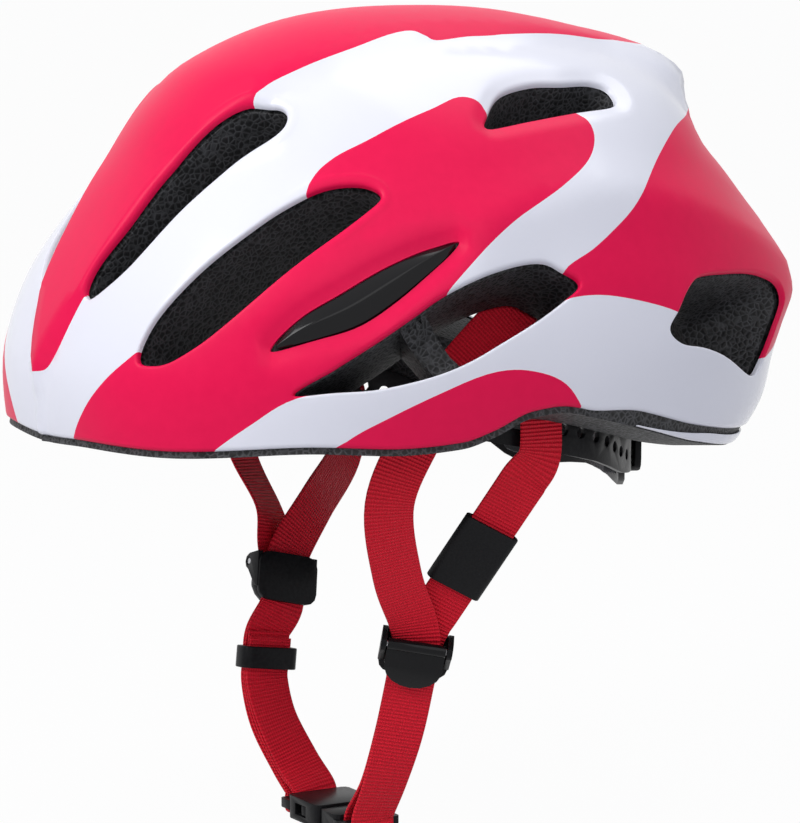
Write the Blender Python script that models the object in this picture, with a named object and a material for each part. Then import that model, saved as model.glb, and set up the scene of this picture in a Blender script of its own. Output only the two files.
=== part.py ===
"""Vented road-cycling helmet.

A moulded shell over a bead-foam liner, with a webbing harness, two cam dividers, a side-release
buckle and a rear cradle with a fit dial. Sizes are in millimetres and degrees; put() turns them
into metres. Front is -Y, the wearer's left is +X and up is +Z. The origin is the middle of the
head opening, at the height of the rear rim.
"""
import math

import bpy
import numpy as np
from mathutils import Matrix, Vector, geometry

# Shell form: radius from the origin (mm) at each angle above the rim plane (deg).
FRONT_PROFILE = ((-10, 122), (0, 130), (8, 136), (16, 139), (33, 138), (43, 140), (52, 145),
                 (60, 148), (70, 147.5), (90, 145))
SIDE_PROFILE = ((-10, 90), (0, 95), (8, 98), (18, 104), (31, 112.5), (48, 125), (61, 134.5),
                (75, 142), (90, 145))
REAR_PROFILE = ((-10, 100), (0, 113), (8, 128), (14, 134.5), (18, 142), (22, 149.5), (30, 147.5),
                (37, 145), (44, 144.5), (50, 149.5), (56, 153), (62, 152), (75, 147.5), (90, 145))
# Squareness of the plan, front and rear, at the same angles: 2 is an ellipse.
FRONT_POWER = ((-10, 2.6), (22, 2.6), (50, 2.0), (90, 2.0))
REAR_POWER = ((-10, 2.15), (40, 2.15), (70, 2.0), (90, 2.0))
MAP_RADIUS = 145.0

# Rim height (mm) at each angle round from the front (deg).
RIM_HEIGHT = ((0, 11), (12, 12), (25, 11.5), (45, 13.5), (60, 12), (70, 13), (76, 16), (84, 21.5),
              (90, 22.5), (98, 20), (111, 14), (125, 7.5), (143, 2.5), (160, 1), (180, 0.5))
RIM_FOAM_EDGE = 2.2
REAR_EDGE_RISE = 3.6
REAR_EDGE_START = 96.0

SHELL_THICKNESS = 1.0
FIT_GAP = 0.3
HEAD_HALF_WIDTH = 80.0
HEAD_FRONT = 106.0
HEAD_REAR = 107.0
HEAD_DEPTH = 118.0
LINER_RELIEF = 0.7

# Vent outlines of the left half, as points of a smooth closed curve on the shell's flat map:
# mm to the left of the crown line and mm behind the crown, along the surface.
BROW_SLOT = ((21, -164), (20, -155), (24, -136), (27, -113), (31, -94), (36, -82), (43, -75),
             (49, -76), (51, -83), (47, -99), (44, -120), (39, -146), (29, -160))
TEMPLE_SLOT = ((67, -171), (66, -160), (70, -140), (74, -117), (76, -99), (79, -82), (86, -69),
               (93, -65), (96, -73), (98, -93), (97, -125), (92, -147), (83, -163), (74, -170))
SIDE_VENT = ((131, -138), (136, -119), (139, -98), (139, -78), (137, -60), (135, -35), (134, -8),
             (138, 4), (143, 13), (149, 4), (156, -13), (161, -33), (164, -56), (162, -79),
             (154, -104), (142, -124))
CROWN_VENT = ((81, -12), (74, -8), (66, 1), (61, 16), (59, 30), (56, 43), (58, 50), (67, 48),
              (74, 28), (79, 6))
TAIL_VENT = ((152, 70), (143, 74), (132, 79), (124, 86), (113, 104), (97, 128), (88, 144),
             (93, 152), (108, 157), (122, 153), (135, 133), (149, 96), (154, 80))
NAPE_VENT = ((0, 99), (18, 99), (29, 103), (18, 109), (0, 111))
INSERT = ((113, -135), (113, -119), (116, -99), (117, -76), (118, -56), (120, -43), (125, -55),
          (130, -78), (130, -99), (123, -118))
BRIDGE_TOP = (135, -78)
BRIDGE_FOOT = (166, -66)
BRIDGE_HALF_WIDTH = 7.0
BRIDGE_DEPTH = 11.0

# Raised and sunk bodywork.
RIB_RISE = 3.0
RIB_EDGE = 7.0
RIB_HALF_WIDTH = ((-195, 0), (-191, 5), (-185, 9), (-163, 20), (-113, 28), (-82, 37), (16, 36), (60, 29))
CREASE_LINE = ((119, -33), (112, 7), (105, 47), (102, 69), (96, 94), (85, 123), (72, 146))
CREASE_RISE = 2.6
CREASE_REACH = 20.0
DECK_RISE = 8.0
DECK_EDGE = 95.0
DECK_LENGTH = 40.0
DECK_HALF_WIDTH = 42.0
INSERT_SINK = 2.6
INSERT_LIP = 7.0
INSERT_RIDGE = 2.4

MESH_PITCH = 17.0
RIM_POINTS = 66

# Comfort pads, on the inside of the liner.
PAD_THICKNESS = 5.0
BROW_PAD_ANGLE = 38.0
BROW_PAD_BAND = (189.0, 208.0)
CROWN_PAD_HALF_WIDTH = 12.0
CROWN_PAD_ENDS = (-150.0, 70.0)
SIDE_PAD_CENTRE = (112.0, -42.0)
SIDE_PAD_SIZE = (20.0, 58.0)
ANCHOR_CENTRE = (114.0, 44.0)
ANCHOR_SIZE = (18.0, 62.0)
ANCHOR_INSET = 2.5
ANCHOR_THICKNESS = 2.6

# Webbing and its fittings.
WEBBING_WIDTH = 16.0
WEBBING_THICKNESS = 1.0
LAYER_GAP = 0.35
DIVIDER_WALL = 1.8
DIVIDER_PLAY = 2.0
DIVIDER_LENGTH = 17.0
DIVIDER_PLATE = 1.8
LEVER_THICKNESS = 2.4
LEVER_LENGTH = 15.5
HINGE_PIN_RADIUS = 1.1
SLEEVE_LENGTH = 25.0
SLEEVE_WALL = 1.5
KEEPER_LENGTH = 7.5
KEEPER_WALL = 1.5

LEFT_DIVIDER = (42.0, -21.0, -63.0)
LEFT_DIVIDER_UP = (0.35, -0.02, 0.94)
LEFT_DIVIDER_FACING = (0.87, -0.49, 0.0)
RIGHT_DIVIDER = (-42.0, -25.0, -50.0)
RIGHT_DIVIDER_UP = (-0.30, 0.22, 0.93)
RIGHT_DIVIDER_FACING = (-1.0, 0.0, 0.0)
KEEPER_CENTRE = (-38.6, -33.4, -76.0)
KEEPER_AXIS = (-0.09, 0.14, 1.0)
SLEEVE_AT = 0.47
KEEPER_PLAY = 1.0

# Buckle, closed, lying across the chin.
BUCKLE_CENTRE = (0.0, -26.0, -123.0)
BUCKLE_WIDTH = 23.0
BUCKLE_HEIGHT = 8.0
BUCKLE_MOUTH = 5.0
FEMALE_BACK = -15.9
FEMALE_BAR = -20.5
MALE_BAR = 20.2
BAR_HALF = 1.6

# Rear cradle, bent round an upright axis.
CRADLE_AXIS_Y = 2.0
CRADLE_RADIUS = 70.0
CRADLE_THICKNESS = 2.2
CRADLE_HALF_LENGTH = 46.0
CRADLE_TOP = 8.0
CRADLE_BOTTOM = -14.0
DIAL_HEIGHT = -2.0
DIAL_RADIUS = 13.0
DIAL_DEPTH = 7.0
DIAL_RIBS = 24
COVER_HALF_LENGTH = 30.0
COVER_HALF_HEIGHT = 8.5
COVER_GAP = 0.8
TRACK_HALF_HEIGHT = 6.2
TRACK_DEPTH = 3.4
RACK_THICKNESS = 2.4
PINION_TEETH = 8
PINION_PITCH = 3.2
TOOTH_HEIGHT = 0.9
ARM_WIDTH = 13.0
ARM_THICKNESS = 1.8
ARM_GAP = 0.4
# Arm stations on the lining: mm behind the middle, height, and inset from the lining.
TEMPLE_PIVOT = (-62.0, 22.0)
TEMPLE_INSET = 5.55
ARM_STATIONS = ((-41, 21.5, 7.8), (-14, 18.5, 7.8), (12, 14, 6.4), (32, 9, 7.4))
PIN_SHANK = 2.5
PIN_FLANGE = 6.0

# Colour, roughness and metallic value of each finish, and the pieces that wear it.
FINISHES = {
    "red_paint": ((0.78, 0.020, 0.060), 0.35, 0.0),
    "white_trim": ((0.80, 0.80, 0.84), 0.25, 0.0),
    "bead_foam": ((0.012, 0.012, 0.014), 0.9, 0.0),
    "gloss_black": ((0.010, 0.010, 0.012), 0.15, 0.0),
    "padding": ((0.020, 0.020, 0.022), 0.95, 0.0),
    "red_webbing": ((0.55, 0.010, 0.022), 0.75, 0.0),
    "black_plastic": ((0.015, 0.015, 0.017), 0.4, 0.0),
    "steel": ((0.50, 0.50, 0.52), 0.3, 1.0),
}
WEARS = {"outer_shell": "red_paint", "rear_rim_wrap": "white_trim", "foam_liner": "bead_foam",
         "insert": "gloss_black", "pad": "padding", "strap": "red_webbing", "divider_pin": "steel"}


def smooth(knots, x):
    """Smooth curve through (x, y) knots, level at its ends and without overshoot."""
    xs = np.array([k[0] for k in knots], float)
    ys = np.array([k[1] for k in knots], float)
    step = np.diff(xs)
    slope = np.diff(ys) / step
    tangent = np.zeros(len(xs))
    for i in range(1, len(xs) - 1):
        if slope[i - 1] * slope[i] > 0:
            a = 2 * step[i] + step[i - 1]
            b = step[i] + 2 * step[i - 1]
            tangent[i] = (a + b) / (a / slope[i - 1] + b / slope[i])
    x = np.clip(np.asarray(x, float), xs[0], xs[-1])
    i = np.clip(np.searchsorted(xs, x) - 1, 0, len(step) - 1)
    t = (x - xs[i]) / step[i]
    return ((1 + 2 * t) * (1 - t) ** 2 * ys[i] + t * (1 - t) ** 2 * step[i] * tangent[i]
            + t * t * (3 - 2 * t) * ys[i + 1] + t * t * (t - 1) * step[i] * tangent[i + 1])


def ease(x):
    x = np.clip(x, 0.0, 1.0)
    return x * x * (3 - 2 * x)


def unit(v):
    v = np.asarray(v, float)
    return v / np.linalg.norm(v, axis=-1, keepdims=True)


def spline(points, per_span, closed=False):
    """Catmull-Rom curve through the points."""
    p = np.asarray(points, float)
    n = len(p)
    spans = n if closed else n - 1
    out = []
    for i in range(spans):
        if closed:
            a, b, c, d = p[i - 1], p[i], p[(i + 1) % n], p[(i + 2) % n]
        else:
            a, b, c, d = p[max(i - 1, 0)], p[i], p[i + 1], p[min(i + 2, n - 1)]
        for t in np.arange(per_span) / per_span:
            out.append(0.5 * (2 * b + (c - a) * t + (2 * a - 5 * b + 4 * c - d) * t ** 2
                              + (3 * b - a - 3 * c + d) * t ** 3))
    if not closed:
        out.append(p[-1])
    return np.array(out)


def mirror(loop):
    return np.asarray(loop, float)[::-1] * (-1, 1)


def refine(loop, pitch):
    """Split the long edges of a closed loop."""
    out = []
    for a, b in zip(loop, np.roll(loop, -1, axis=0)):
        count = max(1, math.ceil(np.linalg.norm(b - a) / pitch))
        out += [a + (b - a) * i / count for i in range(count)]
    return np.array(out)


def line_distance(pts, line, closed=False):
    """Distance of 2-D points from a polyline."""
    line = np.asarray(line, float)
    if closed:
        line = np.vstack([line, line[:1]])
    best = np.full(len(pts), 1e9)
    for a, b in zip(line[:-1], line[1:]):
        ab = b - a
        t = np.clip(((pts - a) @ ab) / max(ab @ ab, 1e-12), 0, 1)
        best = np.minimum(best, np.linalg.norm(pts - a - t[:, None] * ab, axis=1))
    return best


def inside(pts, loop):
    """Which 2-D points lie in a closed loop."""
    hit = np.zeros(len(pts), bool)
    x, y = pts[:, 0], pts[:, 1]
    for (x0, y0), (x1, y1) in zip(loop, np.roll(loop, -1, axis=0)):
        cross = (y0 > y) != (y1 > y)
        with np.errstate(divide="ignore", invalid="ignore"):
            hit ^= cross & (x < (x1 - x0) * (y - y0) / (y1 - y0) + x0)
    return hit


def directions(uv):
    uv = np.asarray(uv, float)
    rho = np.maximum(np.hypot(uv[:, 0], uv[:, 1]), 1e-6)
    turn = rho / MAP_RADIUS
    return np.stack([np.sin(turn) * uv[:, 0] / rho, np.sin(turn) * uv[:, 1] / rho, np.cos(turn)], 1)


def dome_radius(d):
    rise = np.degrees(np.arcsin(np.clip(d[:, 2], -1, 1)))
    across = np.abs(d[:, 0]) + 1e-9
    flat = np.hypot(across, d[:, 1])
    across = across / flat
    along = d[:, 1] / flat
    long_axis = np.where(along < 0, smooth(FRONT_PROFILE, rise), smooth(REAR_PROFILE, rise))
    short_axis = smooth(SIDE_PROFILE, rise)
    power = np.where(along < 0, smooth(FRONT_POWER, rise), smooth(REAR_POWER, rise))
    return ((np.abs(along) / long_axis) ** power + (across / short_axis) ** power) ** (-1 / power)


def bodywork(uv):
    """Height of ribs, creases and sinkings over the plain dome."""
    side = np.stack([np.abs(uv[:, 0]), uv[:, 1]], 1)
    half = np.interp(uv[:, 1], [k[0] for k in RIB_HALF_WIDTH], [k[1] for k in RIB_HALF_WIDTH])
    rib = RIB_RISE * ease((half - side[:, 0]) / RIB_EDGE + 0.5) * ease((95 - uv[:, 1]) / 40)
    crease = np.clip(1 - line_distance(side, spline(CREASE_LINE, 4)) / CREASE_REACH, 0, 1) ** 1.5
    deck = (ease((uv[:, 1] - DECK_EDGE + DECK_LENGTH) / DECK_LENGTH)
            * ease((DECK_EDGE + 4 - uv[:, 1]) / 5) * ease((DECK_HALF_WIDTH - side[:, 0]) / 16))
    leaf = spline(INSERT, 3, True)
    sink = np.where(inside(side, leaf), 1.0, ease(1 - line_distance(side, leaf, True) / INSERT_LIP))
    return rib + CREASE_RISE * crease + DECK_RISE * deck - INSERT_SINK * sink


def shell_surface(uv, depth):
    d = directions(uv)
    return d * (dome_radius(d) + bodywork(uv) - depth)[:, None]


def head_surface(uv, inset):
    """Inside of the liner, moved inwards by inset."""
    d = directions(uv)
    long_axis = np.where(d[:, 1] < 0, HEAD_FRONT, HEAD_REAR)
    r = ((d[:, 0] / HEAD_HALF_WIDTH) ** 2 + (d[:, 1] / long_axis) ** 2
         + (d[:, 2] / HEAD_DEPTH) ** 2) ** -0.5
    return d * (r - inset)[:, None]


def lining(u, v, inset, sign=1):
    """Strap station inside the liner: a point and the way out through the liner there."""
    p = head_surface(np.array([[u, v]], float), inset)[0]
    long_axis = HEAD_FRONT if p[1] < 0 else HEAD_REAR
    return p, sign * unit(p / np.square((HEAD_HALF_WIDTH, long_axis, HEAD_DEPTH)))


def rim_loop(angles, rise):
    """Rim on the flat map at angles round from the front; rise is the height above the rim."""
    height = smooth(RIM_HEIGHT, np.abs(angles)) + rise
    a = np.radians(angles)
    lift = height / 110
    for _ in range(8):
        d = np.stack([np.cos(lift) * np.sin(a), -np.cos(lift) * np.cos(a), np.sin(lift)], 1)
        lift = np.arcsin(height / dome_radius(d))
    rho = (math.pi / 2 - lift) * MAP_RADIUS
    return np.stack([rho * np.sin(a), -rho * np.cos(a)], 1)


def triangulate(loops, pitch=None, lines=()):
    """Flat triangle mesh that keeps every loop and line as edges."""
    pts = []
    edges = []
    for loop in loops:
        start = len(pts)
        pts += [tuple(p) for p in loop]
        edges += [(start + i, start + (i + 1) % len(loop)) for i in range(len(loop))]
    for line in lines:
        start = len(pts)
        pts += [tuple(p) for p in line]
        edges += [(start + i, start + i + 1) for i in range(len(line) - 1)]
    if pitch:
        lo, hi = np.min(loops[0], axis=0), np.max(loops[0], axis=0)
        row = pitch * math.sqrt(0.75)
        rows = np.arange(math.floor(lo[1] / row), math.ceil(hi[1] / row) + 1)
        cols = np.arange(math.floor(lo[0] / pitch) - 1, math.ceil(hi[0] / pitch) + 2)
        grid = np.array([(pitch * (c + 0.5 * (r % 2)), row * r) for r in rows for c in cols], float)
        keep = inside(grid, np.asarray(loops[0]))
        for loop in loops:
            keep &= line_distance(grid, loop, True) > 0.6 * pitch
        for line in lines:
            keep &= line_distance(grid, line) > 0.6 * pitch
        pts += [tuple(p) for p in grid[keep]]
    found = geometry.delaunay_2d_cdt([Vector(p) for p in pts], edges, [], 0, 1e-5, False)
    return np.array([(v.x, v.y) for v in found[0]]), np.array(found[2])


def put(name, verts, faces):
    """New object from points in mm, with its faces turned outwards."""
    verts = np.asarray(verts, float)
    middle = verts.mean(axis=0)
    volume = 0.0
    for f in faces:
        p = verts[list(f)] - middle
        for i in range(1, len(f) - 1):
            volume += p[0] @ np.cross(p[i], p[i + 1])
    if volume < 0:
        faces = [list(f)[::-1] for f in faces]
    mesh = bpy.data.meshes.new(name)
    mesh.from_pydata([tuple(v) for v in verts * 0.001], [], [list(f) for f in faces])
    mesh.validate()
    mesh.update()
    obj = bpy.data.objects.new(name, mesh)
    bpy.context.scene.collection.objects.link(obj)
    return obj


def slab(name, tris, top, bottom):
    """Closed solid between two layers of one triangle mesh, with walls along its edges."""
    used = np.unique(tris)
    place = {v: i for i, v in enumerate(used)}
    n = len(used)
    t = [[place[v] for v in f] for f in tris]
    faces = [list(f) for f in t] + [[v + n for v in reversed(f)] for f in t]
    edges = {(f[i], f[(i + 1) % 3]) for f in t for i in range(3)}
    for a, b in sorted(edges):
        if (b, a) not in edges:
            faces += [[b, a, a + n], [b, a + n, b + n]]
    return put(name, np.vstack([top[used], bottom[used]]), faces)


def loft(name, rings):
    """Closed solid through rings of equal point count, with flat ends."""
    n = len(rings[0])
    verts = np.vstack(rings)
    faces = []
    for k in range(len(rings) - 1):
        for i in range(n):
            j = (i + 1) % n
            a, b = k * n + i, k * n + j
            faces += [[a, b, b + n], [a, b + n, a + n]]
    faces.append(list(range(n))[::-1])
    faces.append([(len(rings) - 1) * n + i for i in range(n)])
    return put(name, verts, faces)


def circle(radius, count, centre=(0, 0), start=0.0):
    a = np.radians(start) + np.arange(count) * 2 * math.pi / count
    return np.stack([centre[0] + radius * np.cos(a), centre[1] + radius * np.sin(a)], 1)


def rounded(width, height, radius, centre=(0, 0), steps=3):
    """Rectangle with round corners, anticlockwise."""
    out = []
    corners = ((1, 1, 0), (-1, 1, 90), (-1, -1, 180), (1, -1, 270))
    for sx, sy, start in corners:
        for a in np.radians(start + np.arange(steps + 1) * 90 / steps):
            out.append((centre[0] + sx * (width / 2 - radius) + radius * math.cos(a),
                        centre[1] + sy * (height / 2 - radius) + radius * math.sin(a)))
    return np.array(out)


def prism(name, outline, holes, origin, axes, low, high):
    """Flat outline with holes, drawn on axes[0] and axes[1], pushed out along axes[2]."""
    pts, tris = triangulate([outline] + list(holes))
    mid = pts[tris].mean(axis=1)
    keep = inside(mid, np.asarray(outline))
    for hole in holes:
        keep &= ~inside(mid, np.asarray(hole))
    x, y, z = (np.asarray(a, float) for a in axes)
    base = np.asarray(origin, float) + pts[:, :1] * x + pts[:, 1:] * y
    return slab(name, tris[keep], base + high * z, base + low * z)


def combine(name, kind, first, *others):
    """Join, cut or keep the common part of solids, as one new solid."""
    for other in others:
        mod = first.modifiers.new("shape", "BOOLEAN")
        mod.operation = kind
        mod.solver = "EXACT"
        mod.object = other
    bpy.context.view_layer.update()
    mesh = bpy.data.meshes.new_from_object(first.evaluated_get(bpy.context.evaluated_depsgraph_get()))
    for obj in (first,) + others:
        bpy.data.objects.remove(obj)
    made = bpy.data.objects.new(name, mesh)
    mesh.name = name
    bpy.context.scene.collection.objects.link(made)
    return made


AXES = (np.array([1.0, 0, 0]), np.array([0, 1.0, 0]), np.array([0, 0, 1.0]))


def place_of(obj):
    return obj.location + (place_of(obj.parent) if obj.parent else Vector())


def hang(obj, parent, point=(0, 0, 0)):
    """Give an object a parent and an origin at a point in mm, leaving its shape where it is."""
    place = Vector(point) * 0.001
    if obj.data:
        obj.data.transform(Matrix.Translation(-place))
    obj.parent = parent
    obj.location = place - (place_of(parent) if parent else Vector())


def pivot(name, parent, point=(0, 0, 0)):
    obj = bpy.data.objects.new(name, None)
    bpy.context.scene.collection.objects.link(obj)
    hang(obj, parent, point)
    return obj


def finish(obj):
    """Material and shading of one piece."""
    wears = [kind for key, kind in WEARS.items() if obj.name.endswith(key)]
    colour, rough, metal = FINISHES[wears[0] if wears else "black_plastic"]
    material = bpy.data.materials.new(obj.name)
    material.diffuse_color = (*colour, 1)
    material.use_nodes = True
    shader = material.node_tree.nodes["Principled BSDF"]
    shader.inputs["Base Color"].default_value = (*colour, 1)
    shader.inputs["Roughness"].default_value = rough
    shader.inputs["Metallic"].default_value = metal
    obj.data.materials.clear()
    obj.data.materials.append(material)
    obj.data.shade_smooth()
    obj.data.set_sharp_from_angle(angle=math.radians(32))


def build_dome():
    both = []
    for vent in (BROW_SLOT, TEMPLE_SLOT, SIDE_VENT, CROWN_VENT, TAIL_VENT):
        loop = spline(vent, 2, True)
        both += [loop, mirror(loop)]
    nape = list(NAPE_VENT) + [(-u, v) for u, v in NAPE_VENT[-2:0:-1]]
    both.append(spline(nape, 2, True))
    leaf = spline(INSERT, 2, True)
    leaves = [leaf, mirror(leaf)]

    turns = np.linspace(-180, 180, RIM_POINTS, endpoint=False)
    rear = ease((np.abs(turns) - REAR_EDGE_START) / 14)
    foam_rim = rim_loop(turns, 0.0)
    shell_rim = rim_loop(turns, RIM_FOAM_EDGE + REAR_EDGE_RISE * rear)
    back = turns[np.abs(turns) > REAR_EDGE_START + 12]
    back = np.concatenate([back[back > 0], back[back < 0] + 360])
    back = np.where(back > 180, back - 360, back)
    wrap = np.vstack([rim_loop(back, 0.4), rim_loop(back[::-1], REAR_EDGE_RISE)])

    span = np.array(BRIDGE_FOOT, float) - BRIDGE_TOP
    aside = np.array([-span[1], span[0]]) / np.linalg.norm(span) * BRIDGE_HALF_WIDTH
    sides = []
    for sign in (1, -1):
        line = np.array([np.array(BRIDGE_TOP) + t * span + sign * aside for t in np.linspace(0, 1, 7)])
        sides.append(line)
    bridge = np.vstack([sides[0], sides[1][::-1]])
    middle = np.array([np.array(BRIDGE_TOP) + t * span for t in np.linspace(0.2, 0.8, 4)])
    lines = sides + [middle]
    lines += [line * (-1, 1) for line in lines]
    bridges = [bridge, bridge * (-1, 1)]

    loops = [foam_rim, shell_rim, wrap] + both + leaves
    pts, tris = triangulate(loops, MESH_PITCH, lines)
    mid = pts[tris].mean(axis=1)
    in_vent = np.any([inside(mid, loop) for loop in both], axis=0)
    in_leaf = np.any([inside(mid, loop) for loop in leaves], axis=0)
    on_bridge = np.any([inside(mid, loop) for loop in bridges], axis=0) & in_vent
    in_foam = inside(mid, foam_rim)
    in_shell = inside(mid, shell_rim)

    keep = in_shell & ~in_vent & ~in_leaf
    slab("outer_shell", tris[keep], shell_surface(pts, 0), shell_surface(pts, SHELL_THICKNESS))
    slab("rear_rim_wrap", tris[inside(mid, wrap)], shell_surface(pts, 0.1),
         shell_surface(pts, SHELL_THICKNESS))

    edge = line_distance(pts, foam_rim, True) < 0.05
    turn = np.degrees(np.arctan2(np.abs(pts[:, 0]), -pts[:, 1]))
    depth = np.where(edge & (turn < REAR_EDGE_START), 0.5, SHELL_THICKNESS + FIT_GAP)
    open_pts = np.any([inside(pts, loop) & (line_distance(pts, loop, True) > 0.5) for loop in both], axis=0)
    depth = np.where(open_pts, BRIDGE_DEPTH, depth)
    keep = in_foam & (~in_vent | on_bridge)
    slab("foam_liner", tris[keep], shell_surface(pts, depth), head_surface(pts, -LINER_RELIEF))

    for name, sign in (("left_insert", 1), ("right_insert", -1)):
        build_insert(name, sign)


def build_insert(name, sign):
    """Gloss leaf with a lengthwise ridge, seated in its sinking."""
    half = len(INSERT) // 2
    upper = spline(INSERT[:half + 1], 3)
    lower = spline((INSERT[half:] + INSERT[:1])[::-1], 3)
    count = 13
    upper = upper[np.linspace(0, len(upper) - 1, count).round().astype(int)]
    lower = lower[np.linspace(0, len(lower) - 1, count).round().astype(int)]
    width = np.linalg.norm(lower - upper, axis=1)
    keep = width > 2.5
    upper, lower, width = upper[keep], lower[keep], width[keep]
    pull = (0.9 / width)[:, None]
    a = upper + (lower - upper) * pull
    c = lower + (upper - lower) * pull
    b = 0.5 * (a + c)
    ridge = INSERT_RIDGE * np.sqrt(width / width.max())
    rings = []
    layers = [(a, -0.1 + 0 * ridge), (b, ridge), (c, -0.1 + 0 * ridge),
              (c, -0.5 + 0 * ridge), (b, -0.5 + 0 * ridge), (a, -0.5 + 0 * ridge)]
    corners = [shell_surface(p * (sign, 1), -h) for p, h in layers]
    for i in range(len(a)):
        ring = [corner[i] for corner in corners]
        rings.append(np.array(ring if sign > 0 else ring[::-1]))
    loft(name, rings)


def inner_pad(name, outline, pitch, thickness, inset=FIT_GAP):
    """Pad or plate of even thickness lying on the inside of the liner."""
    outline = refine(outline, pitch)
    pts, tris = triangulate([outline], pitch)
    mid = pts[tris].mean(axis=1)
    slab(name, tris[inside(mid, outline)], head_surface(pts, inset), head_surface(pts, inset + thickness))


def build_pads():
    turn = np.radians(np.linspace(-BROW_PAD_ANGLE, BROW_PAD_ANGLE, 15))
    near = np.stack([BROW_PAD_BAND[0] * np.sin(turn), -BROW_PAD_BAND[0] * np.cos(turn)], 1)
    far = np.stack([BROW_PAD_BAND[1] * np.sin(turn), -BROW_PAD_BAND[1] * np.cos(turn)], 1)
    inner_pad("brow_pad", np.vstack([far, near[::-1]]), 10.0, PAD_THICKNESS)

    front, back = CROWN_PAD_ENDS
    length = back - front
    strip = rounded(2 * CROWN_PAD_HALF_WIDTH, length, 9.0, (0, (front + back) / 2), 3)
    inner_pad("crown_pad", strip, 12.0, PAD_THICKNESS)

    for name, sign in (("left_side_pad", 1), ("right_side_pad", -1)):
        loop = rounded(*SIDE_PAD_SIZE, 8.0, SIDE_PAD_CENTRE, 3)
        inner_pad(name, loop if sign > 0 else mirror(loop), 11.0, PAD_THICKNESS)
    for name, sign in (("left_strap_anchor", 1), ("right_strap_anchor", -1)):
        loop = rounded(*ANCHOR_SIZE, 3.0, ANCHOR_CENTRE, 2)
        inner_pad(name, loop if sign > 0 else mirror(loop), 9.0, ANCHOR_THICKNESS, ANCHOR_INSET)


def frame_of(up, facing):
    """Axes of a fitting: across the strap, up the strap, out from the face."""
    up = unit(up)
    facing = np.asarray(facing, float)
    out = unit(facing - up * (facing @ up))
    return np.cross(up, out), up, out


def ribbon_frames(stations, per_span):
    """Centre, width and face directions along a strap from (point, facing) stations."""
    centre = spline([s[0] for s in stations], per_span)
    facing = unit(spline([unit(s[1]) for s in stations], per_span))
    run = unit(np.gradient(centre, axis=0))
    wide = unit(np.cross(run, facing))
    return centre, wide, np.cross(wide, run)


def ribbon(name, stations, per_span=2):
    centre, wide, face = ribbon_frames(stations, per_span)
    w, t = WEBBING_WIDTH / 2, WEBBING_THICKNESS / 2
    rings = []
    for p, a, b in zip(centre, wide, face):
        rings.append(np.array([p + w * a + t * b, p - w * a + t * b, p - w * a - t * b, p + w * a - t * b]))
    loft(name, rings)


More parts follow.
